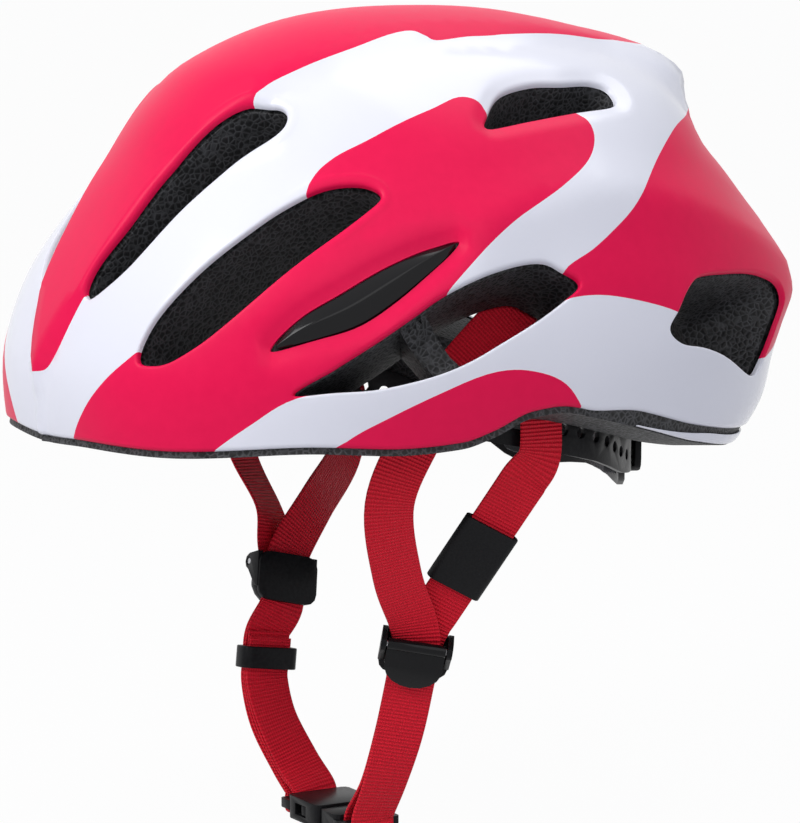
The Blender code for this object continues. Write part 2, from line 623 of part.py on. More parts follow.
def strap_routes():
    """Stations of each strap: point on the centre line and the way its outer face looks."""
    across, up, out = frame_of(LEFT_DIVIDER_UP, LEFT_DIVIDER_FACING)
    hub = np.array(LEFT_DIVIDER)
    layer = WEBBING_THICKNESS + LAYER_GAP
    step = layer / 2 + 0.2
    bar = np.array(BUCKLE_CENTRE) + (MALE_BAR, 0, 0)
    wrap = BAR_HALF + FIT_GAP + WEBBING_THICKNESS / 2
    side = np.array([1.0, 0, 0])
    down = np.array([0, 0, -1.0])

    front = [lining(113, 21, 1.2), lining(131, 4, 1.2), lining(146, -22, 1.6), lining(162, -56, 2.2),
             lining(180, -94, 3.0), ((64, -43, -8), (0.93, -0.36, -0.05)),
             ((54, -34.5, -33), (0.92, -0.38, -0.15)), (hub + 12 * up - 2.2 * across + step * out, out),
             (hub + 2 * up + step * out, out), (hub - 12 * up + step * out, out)]
    chin = [((33, -22, -91), (0.9, -0.35, -0.25)), ((27.5, -24.5, -108), (0.95, -0.12, -0.3))]
    turn = [(bar + wrap * side + (0.6, 0, 3.5), side), (bar + wrap * side, side),
            (bar + 0.9 * wrap * (side + down), side + down),
            (bar + wrap * down, down), (bar + 0.9 * wrap * (down - side), down - side),
            (bar - wrap * side, -side), (bar - (wrap - 0.6) * side + (0, 0, 3.5), -side)]
    outer = [(np.array(p) + step * unit(f), f) for p, f in chin]
    inner = [(np.array(p) - step * unit(f), -np.array(f)) for p, f in reversed(chin)]
    rear_run = rear_line()
    rear = [(hub - 12 * up - step * out, -out), (hub + 2 * up - step * out, -out)]
    rear += [(p, -rear_run[2]) for p in rear_run[0]]
    rear += [((75.2, 6.5, 10), (-1, 0, 0)), lining(186, 17, 3.2, -1), lining(172, 27, 2.4, -1),
             lining(148, 48, 1.6, -1), lining(113, 70, 1.2, -1)]
    left = front + outer + turn + inner + rear

    across, up, out = frame_of(RIGHT_DIVIDER_UP, RIGHT_DIVIDER_FACING)
    hub = np.array(RIGHT_DIVIDER)
    wide, axis, face = frame_of(KEEPER_AXIS, RIGHT_DIVIDER_FACING)
    ring = np.array(KEEPER_CENTRE)
    bar = np.array(BUCKLE_CENTRE) + (FEMALE_BAR, 0, 0)
    low = [((-34.0, -33.2, -97), (-0.95, -0.1, -0.25)), ((-27.5, -28.5, -111), (-0.95, 0.0, -0.3))]
    made = []
    for order, name in ((1, "front"), (0, "rear")):
        away = layer * (order + 0.5)
        round_bar = BAR_HALF + FIT_GAP + WEBBING_THICKNESS / 2 + order * layer
        spread = (order - 0.5) * (layer + 0.4)
        if name == "front":
            path = [lining(-113, 21, 1.2), lining(-131, 4, 1.2), lining(-146, -22, 1.6),
                    lining(-166, -52, 2.2), lining(-186, -74, 3.0), ((-66, -28, -8), (-0.9, -0.45, -0.05)),
                    (hub + 26 * up + 4.5 * across + 4.6 * out, (-0.87, -0.48, -0.1)),
                    (hub + 12 * up + 2.0 * across + (spread + 0.4) * out, out)]
        else:
            path = [lining(-113, 70, 1.2), lining(-148, 50, 1.6), lining(-172, 36, 2.4),
                    lining(-186, 30, 3.2), ((-75.2, 19, 6), (-1, 0, 0)),
                    ((-72.5, 17, -12), (-0.92, -0.35, -0.2)),
                    (hub + 30 * up - 13 * across + 1.0 * out, (-0.88, -0.4, -0.3)),
                    (hub + 12 * up - 2.2 * across + (spread - 0.4) * out, out)]
        path += [(hub + 2 * up + spread * out, out), (hub - 9 * up + spread * out, out)]
        path += [(ring + 8 * axis + away * face, face), (ring + away * face, face),
                 (ring - 8 * axis + away * face, face)]
        loose = away * 1.25
        path += [(np.array(p) + loose * unit(f), f) for p, f in low]
        path += [(bar - round_bar * side + (-0.5, 0, 4), -side), (bar - round_bar * side, -side),
                 (bar + 0.9 * round_bar * (down - side), down - side), (bar + round_bar * down, down),
                 (bar + 0.9 * round_bar * (down + side), down + side), (bar + round_bar * side, side),
                 (bar + round_bar * unit((0.9, 0, 0.4)) + (-0.4, 0, 3.2), (0.9, 0, 0.4))]
        path += [(np.array(p) - loose * unit(f), -np.array(f)) for p, f in reversed(low)]
        path += [(ring - 8 * axis - away * face, -face), (ring - away * face, -face),
                 (ring + (9 - 2 * order) * axis - away * face, -face)]
        made.append(path)
    return left, made[0], made[1]


def rear_line():
    """Straight run of the left rear strap that the sleeve slides on."""
    top = np.array([73.4, 1.5, -2.0])
    across, up, out = frame_of(LEFT_DIVIDER_UP, LEFT_DIVIDER_FACING)
    foot = np.array(LEFT_DIVIDER) + 12 * up + 2.2 * across - 0.9 * out
    wide, along, face = frame_of(top - foot, (0.9, -0.4, -0.2))
    return [foot + t * (top - foot) for t in (0, 0.1, 0.5, 0.9, 1)], along, face, wide


def sleeve_centre():
    stops = rear_line()[0]
    return stops[0] + SLEEVE_AT * (stops[-1] - stops[0])


def tube(name, centre, axes, width, height, wall, length):
    """Rounded rectangular tube: width on axes[0], height on axes[1], length on axes[2]."""
    corner = min(height / 2 + wall, 1.4 + wall) - 0.05
    outer = rounded(width + 2 * wall, height + 2 * wall, corner, (0, 0), 3)
    inner = rounded(width, height, max(corner - wall, 0.3), (0, 0), 3)
    prism(name, outer, [inner], centre, axes, -length / 2, length / 2)


def build_straps():
    left, right_front, right_rear = strap_routes()
    ribbon("left_strap", left)
    ribbon("right_front_strap", right_front)
    ribbon("right_rear_strap", right_rear)

    stops, along, face, wide = rear_line()
    centre = sleeve_centre()
    clear = 2 * FIT_GAP
    tube("strap_sleeve", centre, (np.cross(face, along), face, along), WEBBING_WIDTH + clear,
         WEBBING_THICKNESS + clear, SLEEVE_WALL, SLEEVE_LENGTH)
    wide, axis, face = frame_of(KEEPER_AXIS, RIGHT_DIVIDER_FACING)
    stack = 4 * WEBBING_THICKNESS + 3 * LAYER_GAP
    tube("keeper_ring", np.array(KEEPER_CENTRE), (np.cross(face, axis), face, axis),
         WEBBING_WIDTH + 2 * KEEPER_PLAY, stack + KEEPER_PLAY, KEEPER_WALL, KEEPER_LENGTH)


def build_divider(side, hub, up, facing):
    """Channel base with two ears, a hinge pin and a D-shaped cam lever."""
    across, up, out = frame_of(up, facing)
    hub = np.array(hub)
    inner = WEBBING_WIDTH + 2 * DIVIDER_PLAY
    width = inner + 2 * DIVIDER_WALL
    stack = 2 * WEBBING_THICKNESS + LAYER_GAP + 0.4
    floor = -stack / 2 - 0.8
    face = stack / 2 + 0.5
    half = DIVIDER_LENGTH / 2
    pin_up = half - 3.0
    knuckle = HINGE_PIN_RADIUS + 0.9
    pin_out = face + knuckle

    plate = prism("plate", rounded(width - 0.6, DIVIDER_LENGTH, 4.0, steps=3), [], hub, (across, up, out),
                  floor - DIVIDER_PLATE, floor)
    ears = []
    for sign in (1, -1):
        ear = np.array([(half - 4, floor - 0.8), (half - 0.2, floor - 0.8), (half - 0.2, pin_out - 0.5),
                        (half - 1.2, pin_out + 1.6), (half - 3.0, pin_out + 2.2),
                        (half - 4.8, pin_out + 1.6), (half - 6.0, pin_out), (-half + 5.0, floor + 1.6),
                        (-half + 4.2, floor - 0.8)])
        place = hub + across * sign * (inner / 2 + DIVIDER_WALL / 2)
        hole = circle(HINGE_PIN_RADIUS + FIT_GAP, 12, (pin_up, pin_out))
        ears.append(prism("ear", ear, [hole], place, (up, out, across), -DIVIDER_WALL / 2, DIVIDER_WALL / 2))
    combine(side + "_divider_base", "UNION", plate, *ears)

    pin_at = hub + up * pin_up + out * pin_out
    prism(side + "_divider_pin", circle(HINGE_PIN_RADIUS, 12), [], pin_at, (up, out, across),
          -width / 2 + 0.2, width / 2 - 0.2)

    turn = np.radians(np.linspace(-75, 180, 12))
    barrel = [(knuckle * math.sin(a), knuckle * math.cos(a)) for a in turn[::-1]]
    profile = [(-LEVER_LENGTH, -knuckle + 0.2), (-LEVER_LENGTH * 0.5, -knuckle + 0.2)]
    profile += [(p[0], p[1]) for p in barrel]
    profile += [(-LEVER_LENGTH * 0.5, LEVER_THICKNESS - knuckle + 1.0),
                (-LEVER_LENGTH, LEVER_THICKNESS - knuckle)]
    bore = circle(HINGE_PIN_RADIUS + FIT_GAP, 12)
    flap_half = inner / 2 - 0.4
    cam = prism("cam", np.array(profile), [bore], pin_at, (up, out, across), -flap_half, flap_half)
    curve = [(flap_half, 6), (flap_half, -LEVER_LENGTH * 0.45)]
    for a in np.radians(np.arange(10, 180, 20)):
        curve.append((flap_half * math.cos(a), -LEVER_LENGTH * (0.45 + 0.53 * math.sin(a))))
    curve += [(-flap_half, -LEVER_LENGTH * 0.45), (-flap_half, 6)]
    shape = prism("shape", np.array(curve)[::-1], [], pin_at, (across, up, out), -9, 9)
    combine(side + "_divider_lever", "INTERSECT", cam, shape)
    return pin_at


def buckle_block(name, x0, x1, half_width, half_height, corner=1.2):
    outline = rounded(x1 - x0, 2 * half_width, corner, ((x0 + x1) / 2, 0), 2)
    return prism(name, outline, [], BUCKLE_CENTRE, AXES, -half_height, half_height)


def ladder(name, bar, inner_edge, root):
    """Strap bar on two side rails, with a slot between the bar and the buckle's body."""
    far = bar + math.copysign(BAR_HALF, bar)
    near = bar - math.copysign(BAR_HALF, bar)
    lo, hi = sorted((far, root))
    slot_lo, slot_hi = sorted((near, inner_edge - math.copysign(1.0, bar)))
    outline = rounded(hi - lo, BUCKLE_WIDTH - 0.6, 1.4, ((lo + hi) / 2, 0), 2)
    slot = rounded(slot_hi - slot_lo, WEBBING_WIDTH + 4 * FIT_GAP, 0.5, ((slot_lo + slot_hi) / 2, 0), 1)
    return prism(name, outline, [slot], BUCKLE_CENTRE, AXES, -BAR_HALF, BAR_HALF)


def build_buckle():
    half = BUCKLE_WIDTH / 2
    cavity_half = half - 2.9
    body = buckle_block("body", FEMALE_BACK, BUCKLE_MOUTH, half, BUCKLE_HEIGHT / 2, 2.0)
    rails = ladder("rails", FEMALE_BAR, FEMALE_BACK, FEMALE_BACK + 2.0)
    body = combine("joined", "UNION", body, rails)
    cavity = buckle_block("cavity", -12.0, BUCKLE_MOUTH + 3, cavity_half, 2.2, 0.4)
    window = buckle_block("window", -10.5, -3.0, half + 3, 2.0, 0.4)
    combine("buckle_female", "DIFFERENCE", body, cavity, window)

    front = BUCKLE_MOUTH + 0.4
    inner_edge = MALE_BAR - BAR_HALF - WEBBING_THICKNESS - 3 * FIT_GAP
    plate = buckle_block("plate", front, inner_edge, half - 0.8, 3.2, 1.6)
    rails = ladder("rails", MALE_BAR, inner_edge, inner_edge - 2.0)
    tongue = buckle_block("tongue", -11.2, front + 1.0, 2.2, 1.8, 0.8)
    combine("buckle_male", "UNION", plate, rails, tongue)

    root = front - FIT_GAP
    arm = np.array([(root, 4.4), (root, 6.6), (0.0, 7.2), (-3.4, 7.6), (-3.4, half - 0.5), (-6.5, half - 0.3),
                    (-9.9, 8.2), (-9.9, 6.2), (-3.0, 5.2)])
    for name, sign in (("latch_arm_rear", 1), ("latch_arm_front", -1)):
        outline = arm if sign > 0 else (arm * (1, -1))[::-1]
        prism(name, outline, [], BUCKLE_CENTRE, AXES, -1.8, 1.8)


def round_axis(sz, radius):
    """Points of the bent cradle from arc length, height and radius."""
    a = sz[:, 0] / CRADLE_RADIUS
    return np.stack([radius * np.sin(a), CRADLE_AXIS_Y + radius * np.cos(a), sz[:, 1]], 1)


def bent(name, outline, holes, inner, outer, pitch=9.0):
    """Plate bent round the cradle axis; arc length runs to the wearer's left."""
    outline = refine(outline, pitch)
    pts, tris = triangulate([outline] + list(holes), pitch)
    mid = pts[tris].mean(axis=1)
    keep = inside(mid, np.asarray(outline))
    for hole in holes:
        keep &= ~inside(mid, np.asarray(hole))
    return slab(name, tris[keep][:, ::-1], round_axis(pts, outer), round_axis(pts, inner))


def build_cradle():
    mid = (CRADLE_TOP + CRADLE_BOTTOM) / 2
    tall = CRADLE_TOP - CRADLE_BOTTOM
    wing = ((0, CRADLE_TOP), (20, CRADLE_TOP), (34, CRADLE_TOP - 4), (44, CRADLE_TOP - 6), (46, DIAL_HEIGHT),
            (44, CRADLE_BOTTOM + 6), (32, CRADLE_BOTTOM), (18, CRADLE_BOTTOM + 1), (0, CRADLE_BOTTOM + 3))
    wing = [(s * CRADLE_HALF_LENGTH / 46, z) for s, z in wing]
    outline = spline(wing + [(-s, z) for s, z in wing[-2:0:-1]], 2, True)
    holes = []
    for sign in (1, -1):
        holes.append(rounded(7, 9, 2, (sign * 38, DIAL_HEIGHT), 2))
        holes.append(rounded(9, 4, 1.5, (sign * 26, CRADLE_BOTTOM + 5.6), 2))
        holes.append(rounded(8, 3.5, 1.5, (sign * 22, CRADLE_TOP - 4.0), 2))
    bent("cradle_frame", outline, holes, CRADLE_RADIUS, CRADLE_RADIUS + CRADLE_THICKNESS)

    base = CRADLE_RADIUS + CRADLE_THICKNESS + COVER_GAP
    roof = base + TRACK_DEPTH
    top = roof + 2.4
    outline = refine(rounded(2 * COVER_HALF_LENGTH, 2 * COVER_HALF_HEIGHT, 5.0, (0, DIAL_HEIGHT), 3), 6.0)
    bore = circle(PIN_SHANK + FIT_GAP, 16, (0, DIAL_HEIGHT))
    reach = COVER_HALF_LENGTH + 2
    stops = np.linspace(-reach, reach, 17)
    lines = []
    for edge in (TRACK_HALF_HEIGHT, TRACK_HALF_HEIGHT + 0.4):
        for sign in (1, -1):
            lines.append(np.stack([stops, DIAL_HEIGHT + sign * edge + 0 * stops], 1))
    pts, tris = triangulate([outline, bore], 8.0, lines)
    centre = pts[tris].mean(axis=1)
    keep = inside(centre, outline) & ~inside(centre, bore)
    in_track = np.abs(pts[:, 1] - DIAL_HEIGHT) < TRACK_HALF_HEIGHT + 0.01
    inner = round_axis(pts, np.where(in_track, roof, base))
    slab("dial_cover", tris[keep][:, ::-1], round_axis(pts, top), inner)

    build_racks(base)
    build_dial(base, top)

    for name, sign in (("left_nape_pad", 1), ("right_nape_pad", -1)):
        outline = rounded(28, 16, 6, (sign * 24, mid + 1), 3)
        bent(name, outline, [], CRADLE_RADIUS - FIT_GAP - 4.5, CRADLE_RADIUS - FIT_GAP, 9.0)
    build_arms()


def build_racks(base):
    """Toothed band ends that cross in the track, above and below the pinion."""
    pitch = 2 * math.pi * PINION_PITCH / PINION_TEETH
    inner = base + 0.4
    reach = (base + RACK_THICKNESS / 2 + 0.4) / CRADLE_RADIUS
    for name, sign in (("left_rack", 1), ("right_rack", -1)):
        lo, hi = -10.0, 25.0
        teeth = []
        start = math.ceil(lo / pitch)
        for k in range(start, int(hi / pitch)):
            s = (k + 0.5) * pitch
            teeth += [(s - 0.62, PINION_PITCH + 0.75), (s - 0.3, PINION_PITCH - TOOTH_HEIGHT + 0.45),
                      (s + 0.3, PINION_PITCH - TOOTH_HEIGHT + 0.45), (s + 0.62, PINION_PITCH + 0.75)]
        outline = [(lo, PINION_PITCH + 0.75)] + teeth + [(hi, PINION_PITCH + 0.75)]
        outline += [(s, TRACK_HALF_HEIGHT - 0.4) for s in np.linspace(hi, lo, 9)]
        outline = np.array([(sign * s / reach, DIAL_HEIGHT + sign * z) for s, z in outline])
        bent(name, outline, [], inner, inner + RACK_THICKNESS, 6.0)


def build_dial(base, top):
    """Ribbed knob, shaft and pinion in one piece, turning about an axis along Y."""
    def ring(radii, y):
        count = len(radii)
        a = np.arange(count) * 2 * math.pi / count
        return np.stack([radii * np.sin(a), np.full(count, y), DIAL_HEIGHT + radii * np.cos(a)], 1)

    count = 2 * DIAL_RIBS
    step = count // PINION_TEETH
    teeth = np.where((np.arange(count) + 1) % step < step // 2, 1.0, 0.0)
    pinion = PINION_PITCH - 0.75 + teeth * TOOTH_HEIGHT
    grip = DIAL_RADIUS - 0.5 * (np.arange(count) % 2)
    plain = np.ones(count)
    start = CRADLE_AXIS_Y + base + 0.5
    end = start + RACK_THICKNESS - 0.2
    rest = CRADLE_AXIS_Y + top + FIT_GAP
    face = rest + DIAL_DEPTH
    rings = [ring(pinion, start), ring(pinion, end), ring(plain * PIN_SHANK, end),
             ring(plain * PIN_SHANK, rest), ring(plain * (DIAL_RADIUS - 1.0), rest),
             ring(grip, rest + 1.0), ring(grip, face - 1.5), ring(plain * (DIAL_RADIUS - 2.2), face),
             ring(plain * 6.0, face - 0.6)]
    loft("dial", rings)


def lining_half_width(y, z):
    """Distance of the lining from the middle plane."""
    long_axis = np.where(np.asarray(y) < 0, HEAD_FRONT, HEAD_REAR)
    return HEAD_HALF_WIDTH * np.sqrt(1 - (y / long_axis) ** 2 - (z / HEAD_DEPTH) ** 2)


def arm_stations():
    """Centre line of the left arm: along the lining, then round the back of the cradle."""
    stops = ((*TEMPLE_PIVOT, TEMPLE_INSET),) + ARM_STATIONS
    along = [(lining_half_width(y, z) - inset, y, z) for y, z, inset in stops]
    tail = ((CRADLE_HALF_LENGTH + 14, DIAL_HEIGHT + 3), (CRADLE_HALF_LENGTH, DIAL_HEIGHT + 0.4),
            (COVER_HALF_LENGTH + 2.4, DIAL_HEIGHT))
    radius = CRADLE_RADIUS + CRADLE_THICKNESS + ARM_GAP + ARM_THICKNESS / 2
    return np.vstack([along, round_axis(np.array(tail), radius)])


def build_arms():
    stations = arm_stations()
    path = spline(stations, 6)
    run = np.concatenate([[0], np.cumsum(np.linalg.norm(np.diff(path, axis=0), axis=1))])
    length = run[-1]
    half = ARM_WIDTH / 2
    tail = TRACK_HALF_HEIGHT - 0.6
    upper = [(0, half), (12, half - 1.5), (40, half), (85, half + 1.5), (120, half), (length - 22, half - 0.5),
             (length - 12, tail), (length, tail)]
    edge = spline(upper, 3)
    nose = [(-half * math.sin(a), half * math.cos(a)) for a in np.radians(np.arange(20, 180, 20))]
    outline = np.vstack([nose, (edge * (1, -1)), edge[::-1]])
    holes = [circle(PIN_SHANK + FIT_GAP, 12)]
    holes += [circle(1.9, 8, (s, 0)) for s in np.arange(length - 62, length - 24, 7.5)]
    holes.append(rounded(22, 4, 1.6, (72, 0), 2))
    pts, tris = triangulate([outline] + holes, 9.0)
    mid = pts[tris].mean(axis=1)
    keep = inside(mid, outline)
    for hole in holes:
        keep &= ~inside(mid, hole)
    tangent = unit(np.gradient(path, axis=0))
    at = pts[:, 0]
    centre = np.stack([np.interp(at, run, path[:, i]) for i in range(3)], 1)
    along = unit(np.stack([np.interp(at, run, tangent[:, i]) for i in range(3)], 1))
    before = np.minimum(at, 0)
    first = np.array([0.0, 1.0, 0.0])
    nose_zone = ease((14 - at) / 8)[:, None]
    along = unit(along * (1 - nose_zone) + first * nose_zone)
    face = unit(np.cross(along, AXES[2]))
    rise = np.cross(face, along)
    eye = stations[0]
    centre = centre + before[:, None] * first
    flat = ease((10 - at) / 4)[:, None]
    centre = centre * (1 - flat) + (eye + at[:, None] * first) * flat
    mid_points = centre + pts[:, 1:] * rise
    top = mid_points + face * ARM_THICKNESS / 2
    bottom = mid_points - face * ARM_THICKNESS / 2
    slab("left_arm", tris[keep], top, bottom)
    slab("right_arm", tris[keep][:, ::-1], top * (-1, 1, 1), bottom * (-1, 1, 1))

    y0, z0 = TEMPLE_PIVOT
    ring = circle(1.0, 16)
    outer_face = eye[0] + ARM_THICKNESS / 2 + FIT_GAP
    inner_face = eye[0] - ARM_THICKNESS / 2 - FIT_GAP

    def section(radius, x):
        return np.stack([np.full(16, 0.0) + x, y0 + radius * ring[:, 0], z0 + radius * ring[:, 1]], 1)

    foot = section(PIN_FLANGE, 0.0)
    foot[:, 0] = lining_half_width(foot[:, 1], foot[:, 2]) - 0.45
    rings = [foot, section(PIN_FLANGE, outer_face), section(PIN_SHANK, outer_face),
             section(PIN_SHANK, inner_face), section(PIN_FLANGE - 1.2, inner_face),
             section(PIN_FLANGE - 2.0, inner_face - 1.3)]
    loft("left_temple_pin", [r[::-1] for r in rings])
    loft("right_temple_pin", [r * (-1, 1, 1) for r in rings])


def main():
    for obj in list(bpy.data.objects):
        bpy.data.objects.remove(obj)
    build_dome()
    build_pads()
    build_straps()
    left_pin = build_divider("left", LEFT_DIVIDER, LEFT_DIVIDER_UP, LEFT_DIVIDER_FACING)
    right_pin = build_divider("right", RIGHT_DIVIDER, RIGHT_DIVIDER_UP, RIGHT_DIVIDER_FACING)
    build_buckle()
    build_cradle()

    pieces = list(bpy.data.objects)
    for obj in pieces:
        finish(obj)
    helmet = pivot("helmet", None)
    cradle = pivot("cradle_pivot", helmet, (0, *TEMPLE_PIVOT))
    rack_axis = (0, CRADLE_AXIS_Y, DIAL_HEIGHT)
    prong = BUCKLE_WIDTH / 2 - 6.0
    origins = {
        "left_divider_lever": left_pin, "right_divider_lever": right_pin,
        "keeper_ring": KEEPER_CENTRE, "strap_sleeve": sleeve_centre(), "buckle_male": BUCKLE_CENTRE,
        "latch_arm_rear": np.array(BUCKLE_CENTRE) + (BUCKLE_MOUTH, prong, 0),
        "latch_arm_front": np.array(BUCKLE_CENTRE) + (BUCKLE_MOUTH, -prong, 0),
        "dial": (0, CRADLE_AXIS_Y + CRADLE_RADIUS, DIAL_HEIGHT),
        "left_rack": rack_axis, "right_rack": rack_axis,
    }
    on_cradle = ("left_arm", "right_arm", "cradle_frame", "dial_cover", "left_nape_pad", "right_nape_pad",
                 "dial", "left_rack", "right_rack")
    for obj in pieces:
        parent = cradle if obj.name in on_cradle else helmet
        hang(obj, parent, origins.get(obj.name, (0, *TEMPLE_PIVOT) if parent is cradle else (0, 0, 0)))
    male = bpy.data.objects["buckle_male"]
    for name in ("latch_arm_front", "latch_arm_rear"):
        obj = bpy.data.objects[name]
        obj.parent = male
        obj.location = Vector(origins[name]) * 0.001 - place_of(male)
    return left_pin, right_pin


main()
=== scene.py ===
"""Looks of the vented road-cycling helmet: studio, camera, materials and fine surfaces.

Sizes are in millimetres and degrees; put() turns them into metres. Front is -Y, the wearer's left is +X.
"""
import math

import bmesh
import bpy
import numpy as np
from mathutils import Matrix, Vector, geometry, kdtree


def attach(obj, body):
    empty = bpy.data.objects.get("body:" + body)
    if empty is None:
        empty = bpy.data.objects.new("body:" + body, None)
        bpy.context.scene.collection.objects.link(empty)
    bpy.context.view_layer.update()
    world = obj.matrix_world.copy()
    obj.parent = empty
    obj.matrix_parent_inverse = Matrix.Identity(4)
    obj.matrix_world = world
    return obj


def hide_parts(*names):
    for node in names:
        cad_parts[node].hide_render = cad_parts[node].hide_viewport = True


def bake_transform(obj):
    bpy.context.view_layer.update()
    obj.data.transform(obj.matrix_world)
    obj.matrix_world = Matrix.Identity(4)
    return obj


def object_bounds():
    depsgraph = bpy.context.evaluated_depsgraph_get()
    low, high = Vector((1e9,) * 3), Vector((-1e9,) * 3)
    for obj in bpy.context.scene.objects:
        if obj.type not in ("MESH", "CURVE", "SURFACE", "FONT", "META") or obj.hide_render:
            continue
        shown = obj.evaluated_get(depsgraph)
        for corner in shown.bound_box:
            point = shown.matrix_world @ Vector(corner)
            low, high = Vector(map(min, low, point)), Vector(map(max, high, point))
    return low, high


# Shell form: radius from the origin (mm) at each angle above the rim plane (deg).
FRONT_PROFILE = ((-10, 122), (0, 130), (8, 136), (16, 139), (33, 138), (43, 140), (52, 145),
                 (60, 148), (70, 147.5), (90, 145))
SIDE_PROFILE = ((-10, 90), (0, 95), (8, 98), (18, 104), (31, 112.5), (48, 125), (61, 134.5),
                (75, 142), (90, 145))
REAR_PROFILE = ((-10, 100), (0, 113), (8, 128), (14, 134.5), (18, 142), (22, 149.5), (30, 147.5),
                (37, 145), (44, 144.5), (50, 149.5), (56, 153), (62, 152), (75, 147.5), (90, 145))
# Squareness of the plan, front and rear, at the same angles: 2 is an ellipse.
FRONT_POWER = ((-10, 2.6), (22, 2.6), (50, 2.0), (90, 2.0))
REAR_POWER = ((-10, 2.15), (40, 2.15), (70, 2.0), (90, 2.0))
MAP_RADIUS = 145.0

# Rim height (mm) at each angle round from the front (deg).
RIM_HEIGHT = ((0, 11), (12, 12), (25, 11.5), (45, 13.5), (60, 12), (70, 13), (76, 16), (84, 21.5),
              (90, 22.5), (98, 20), (111, 14), (125, 7.5), (143, 2.5), (160, 1), (180, 0.5))
RIM_FOAM_EDGE = 2.2
REAR_EDGE_RISE = 3.6
REAR_EDGE_START = 96.0

SHELL_THICKNESS = 1.0
FIT_GAP = 0.3
HEAD_HALF_WIDTH = 80.0
HEAD_FRONT = 106.0
HEAD_REAR = 107.0
HEAD_DEPTH = 118.0
LINER_RELIEF = 0.7

# Vent outlines of the left half, as points of a smooth closed curve on the shell's flat map:
# mm to the left of the crown line and mm behind the crown, along the surface.
BROW_SLOT = ((21, -164), (20, -155), (24, -136), (27, -113), (31, -94), (36, -82), (43, -75),
             (49, -76), (51, -83), (47, -99), (44, -120), (39, -146), (29, -160))
TEMPLE_SLOT = ((67, -171), (66, -160), (70, -140), (74, -117), (76, -99), (79, -82), (86, -69),
               (93, -65), (96, -73), (98, -93), (97, -125), (92, -147), (83, -163), (74, -170))
SIDE_VENT = ((131, -138), (136, -119), (139, -98), (139, -78), (137, -60), (135, -35), (134, -8),
             (138, 4), (143, 13), (149, 4), (156, -13), (161, -33), (164, -56), (162, -79),
             (154, -104), (142, -124))
CROWN_VENT = ((81, -12), (74, -8), (66, 1), (61, 16), (59, 30), (56, 43), (58, 50), (67, 48),
              (74, 28), (79, 6))
TAIL_VENT = ((152, 70), (143, 74), (132, 79), (124, 86), (113, 104), (97, 128), (88, 144),
             (93, 152), (108, 157), (122, 153), (135, 133), (149, 96), (154, 80))
NAPE_VENT = ((0, 99), (18, 99), (29, 103), (18, 109), (0, 111))
INSERT = ((113, -135), (113, -119), (116, -99), (117, -76), (118, -56), (120, -43), (125, -55),
          (130, -78), (130, -99), (123, -118))
BRIDGE_TOP = (135, -78)
BRIDGE_FOOT = (166, -66)
BRIDGE_HALF_WIDTH = 7.0
BRIDGE_DEPTH = 11.0

# Raised and sunk bodywork.
RIB_RISE = 3.0
RIB_EDGE = 7.0
RIB_HALF_WIDTH = ((-195, 0), (-191, 5), (-185, 9), (-163, 20), (-113, 28), (-82, 37), (16, 36), (60, 29))
CREASE_LINE = ((119, -33), (112, 7), (105, 47), (102, 69), (96, 94), (85, 123), (72, 146))
CREASE_RISE = 2.6
CREASE_REACH = 20.0
DECK_RISE = 8.0
DECK_EDGE = 95.0
DECK_LENGTH = 40.0
DECK_HALF_WIDTH = 42.0
INSERT_SINK = 2.6
INSERT_LIP = 7.0
INSERT_RIDGE = 2.4


# Comfort pads, on the inside of the liner.
PAD_THICKNESS = 5.0
BROW_PAD_ANGLE = 38.0
BROW_PAD_BAND = (189.0, 208.0)
CROWN_PAD_HALF_WIDTH = 12.0
CROWN_PAD_ENDS = (-150.0, 70.0)
SIDE_PAD_CENTRE = (112.0, -42.0)
SIDE_PAD_SIZE = (20.0, 58.0)

# Webbing and its fittings.
WEBBING_WIDTH = 16.0
WEBBING_THICKNESS = 1.0
LAYER_GAP = 0.35

LEFT_DIVIDER = (42.0, -21.0, -63.0)
LEFT_DIVIDER_UP = (0.35, -0.02, 0.94)
LEFT_DIVIDER_FACING = (0.87, -0.49, 0.0)
RIGHT_DIVIDER = (-42.0, -25.0, -50.0)
RIGHT_DIVIDER_UP = (-0.30, 0.22, 0.93)
RIGHT_DIVIDER_FACING = (-1.0, 0.0, 0.0)
KEEPER_CENTRE = (-38.6, -33.4, -76.0)
KEEPER_AXIS = (-0.09, 0.14, 1.0)

# Buckle, closed, lying across the chin.
BUCKLE_CENTRE = (0.0, -26.0, -123.0)
FEMALE_BAR = -20.5
MALE_BAR = 20.2
BAR_HALF = 1.6


def smooth(knots, x):
    """Smooth curve through (x, y) knots, level at its ends and without overshoot."""
    xs = np.array([k[0] for k in knots], float)
    ys = np.array([k[1] for k in knots], float)
    step = np.diff(xs)
    slope = np.diff(ys) / step
    tangent = np.zeros(len(xs))
    for i in range(1, len(xs) - 1):
        if slope[i - 1] * slope[i] > 0:
            a = 2 * step[i] + step[i - 1]
            b = step[i] + 2 * step[i - 1]
            tangent[i] = (a + b) / (a / slope[i - 1] + b / slope[i])
    x = np.clip(np.asarray(x, float), xs[0], xs[-1])
    i = np.clip(np.searchsorted(xs, x) - 1, 0, len(step) - 1)
    t = (x - xs[i]) / step[i]
    return ((1 + 2 * t) * (1 - t) ** 2 * ys[i] + t * (1 - t) ** 2 * step[i] * tangent[i]
            + t * t * (3 - 2 * t) * ys[i + 1] + t * t * (t - 1) * step[i] * tangent[i + 1])


def ease(x):
    x = np.clip(x, 0.0, 1.0)
    return x * x * (3 - 2 * x)


def unit(v):
    v = np.asarray(v, float)
    return v / np.linalg.norm(v, axis=-1, keepdims=True)


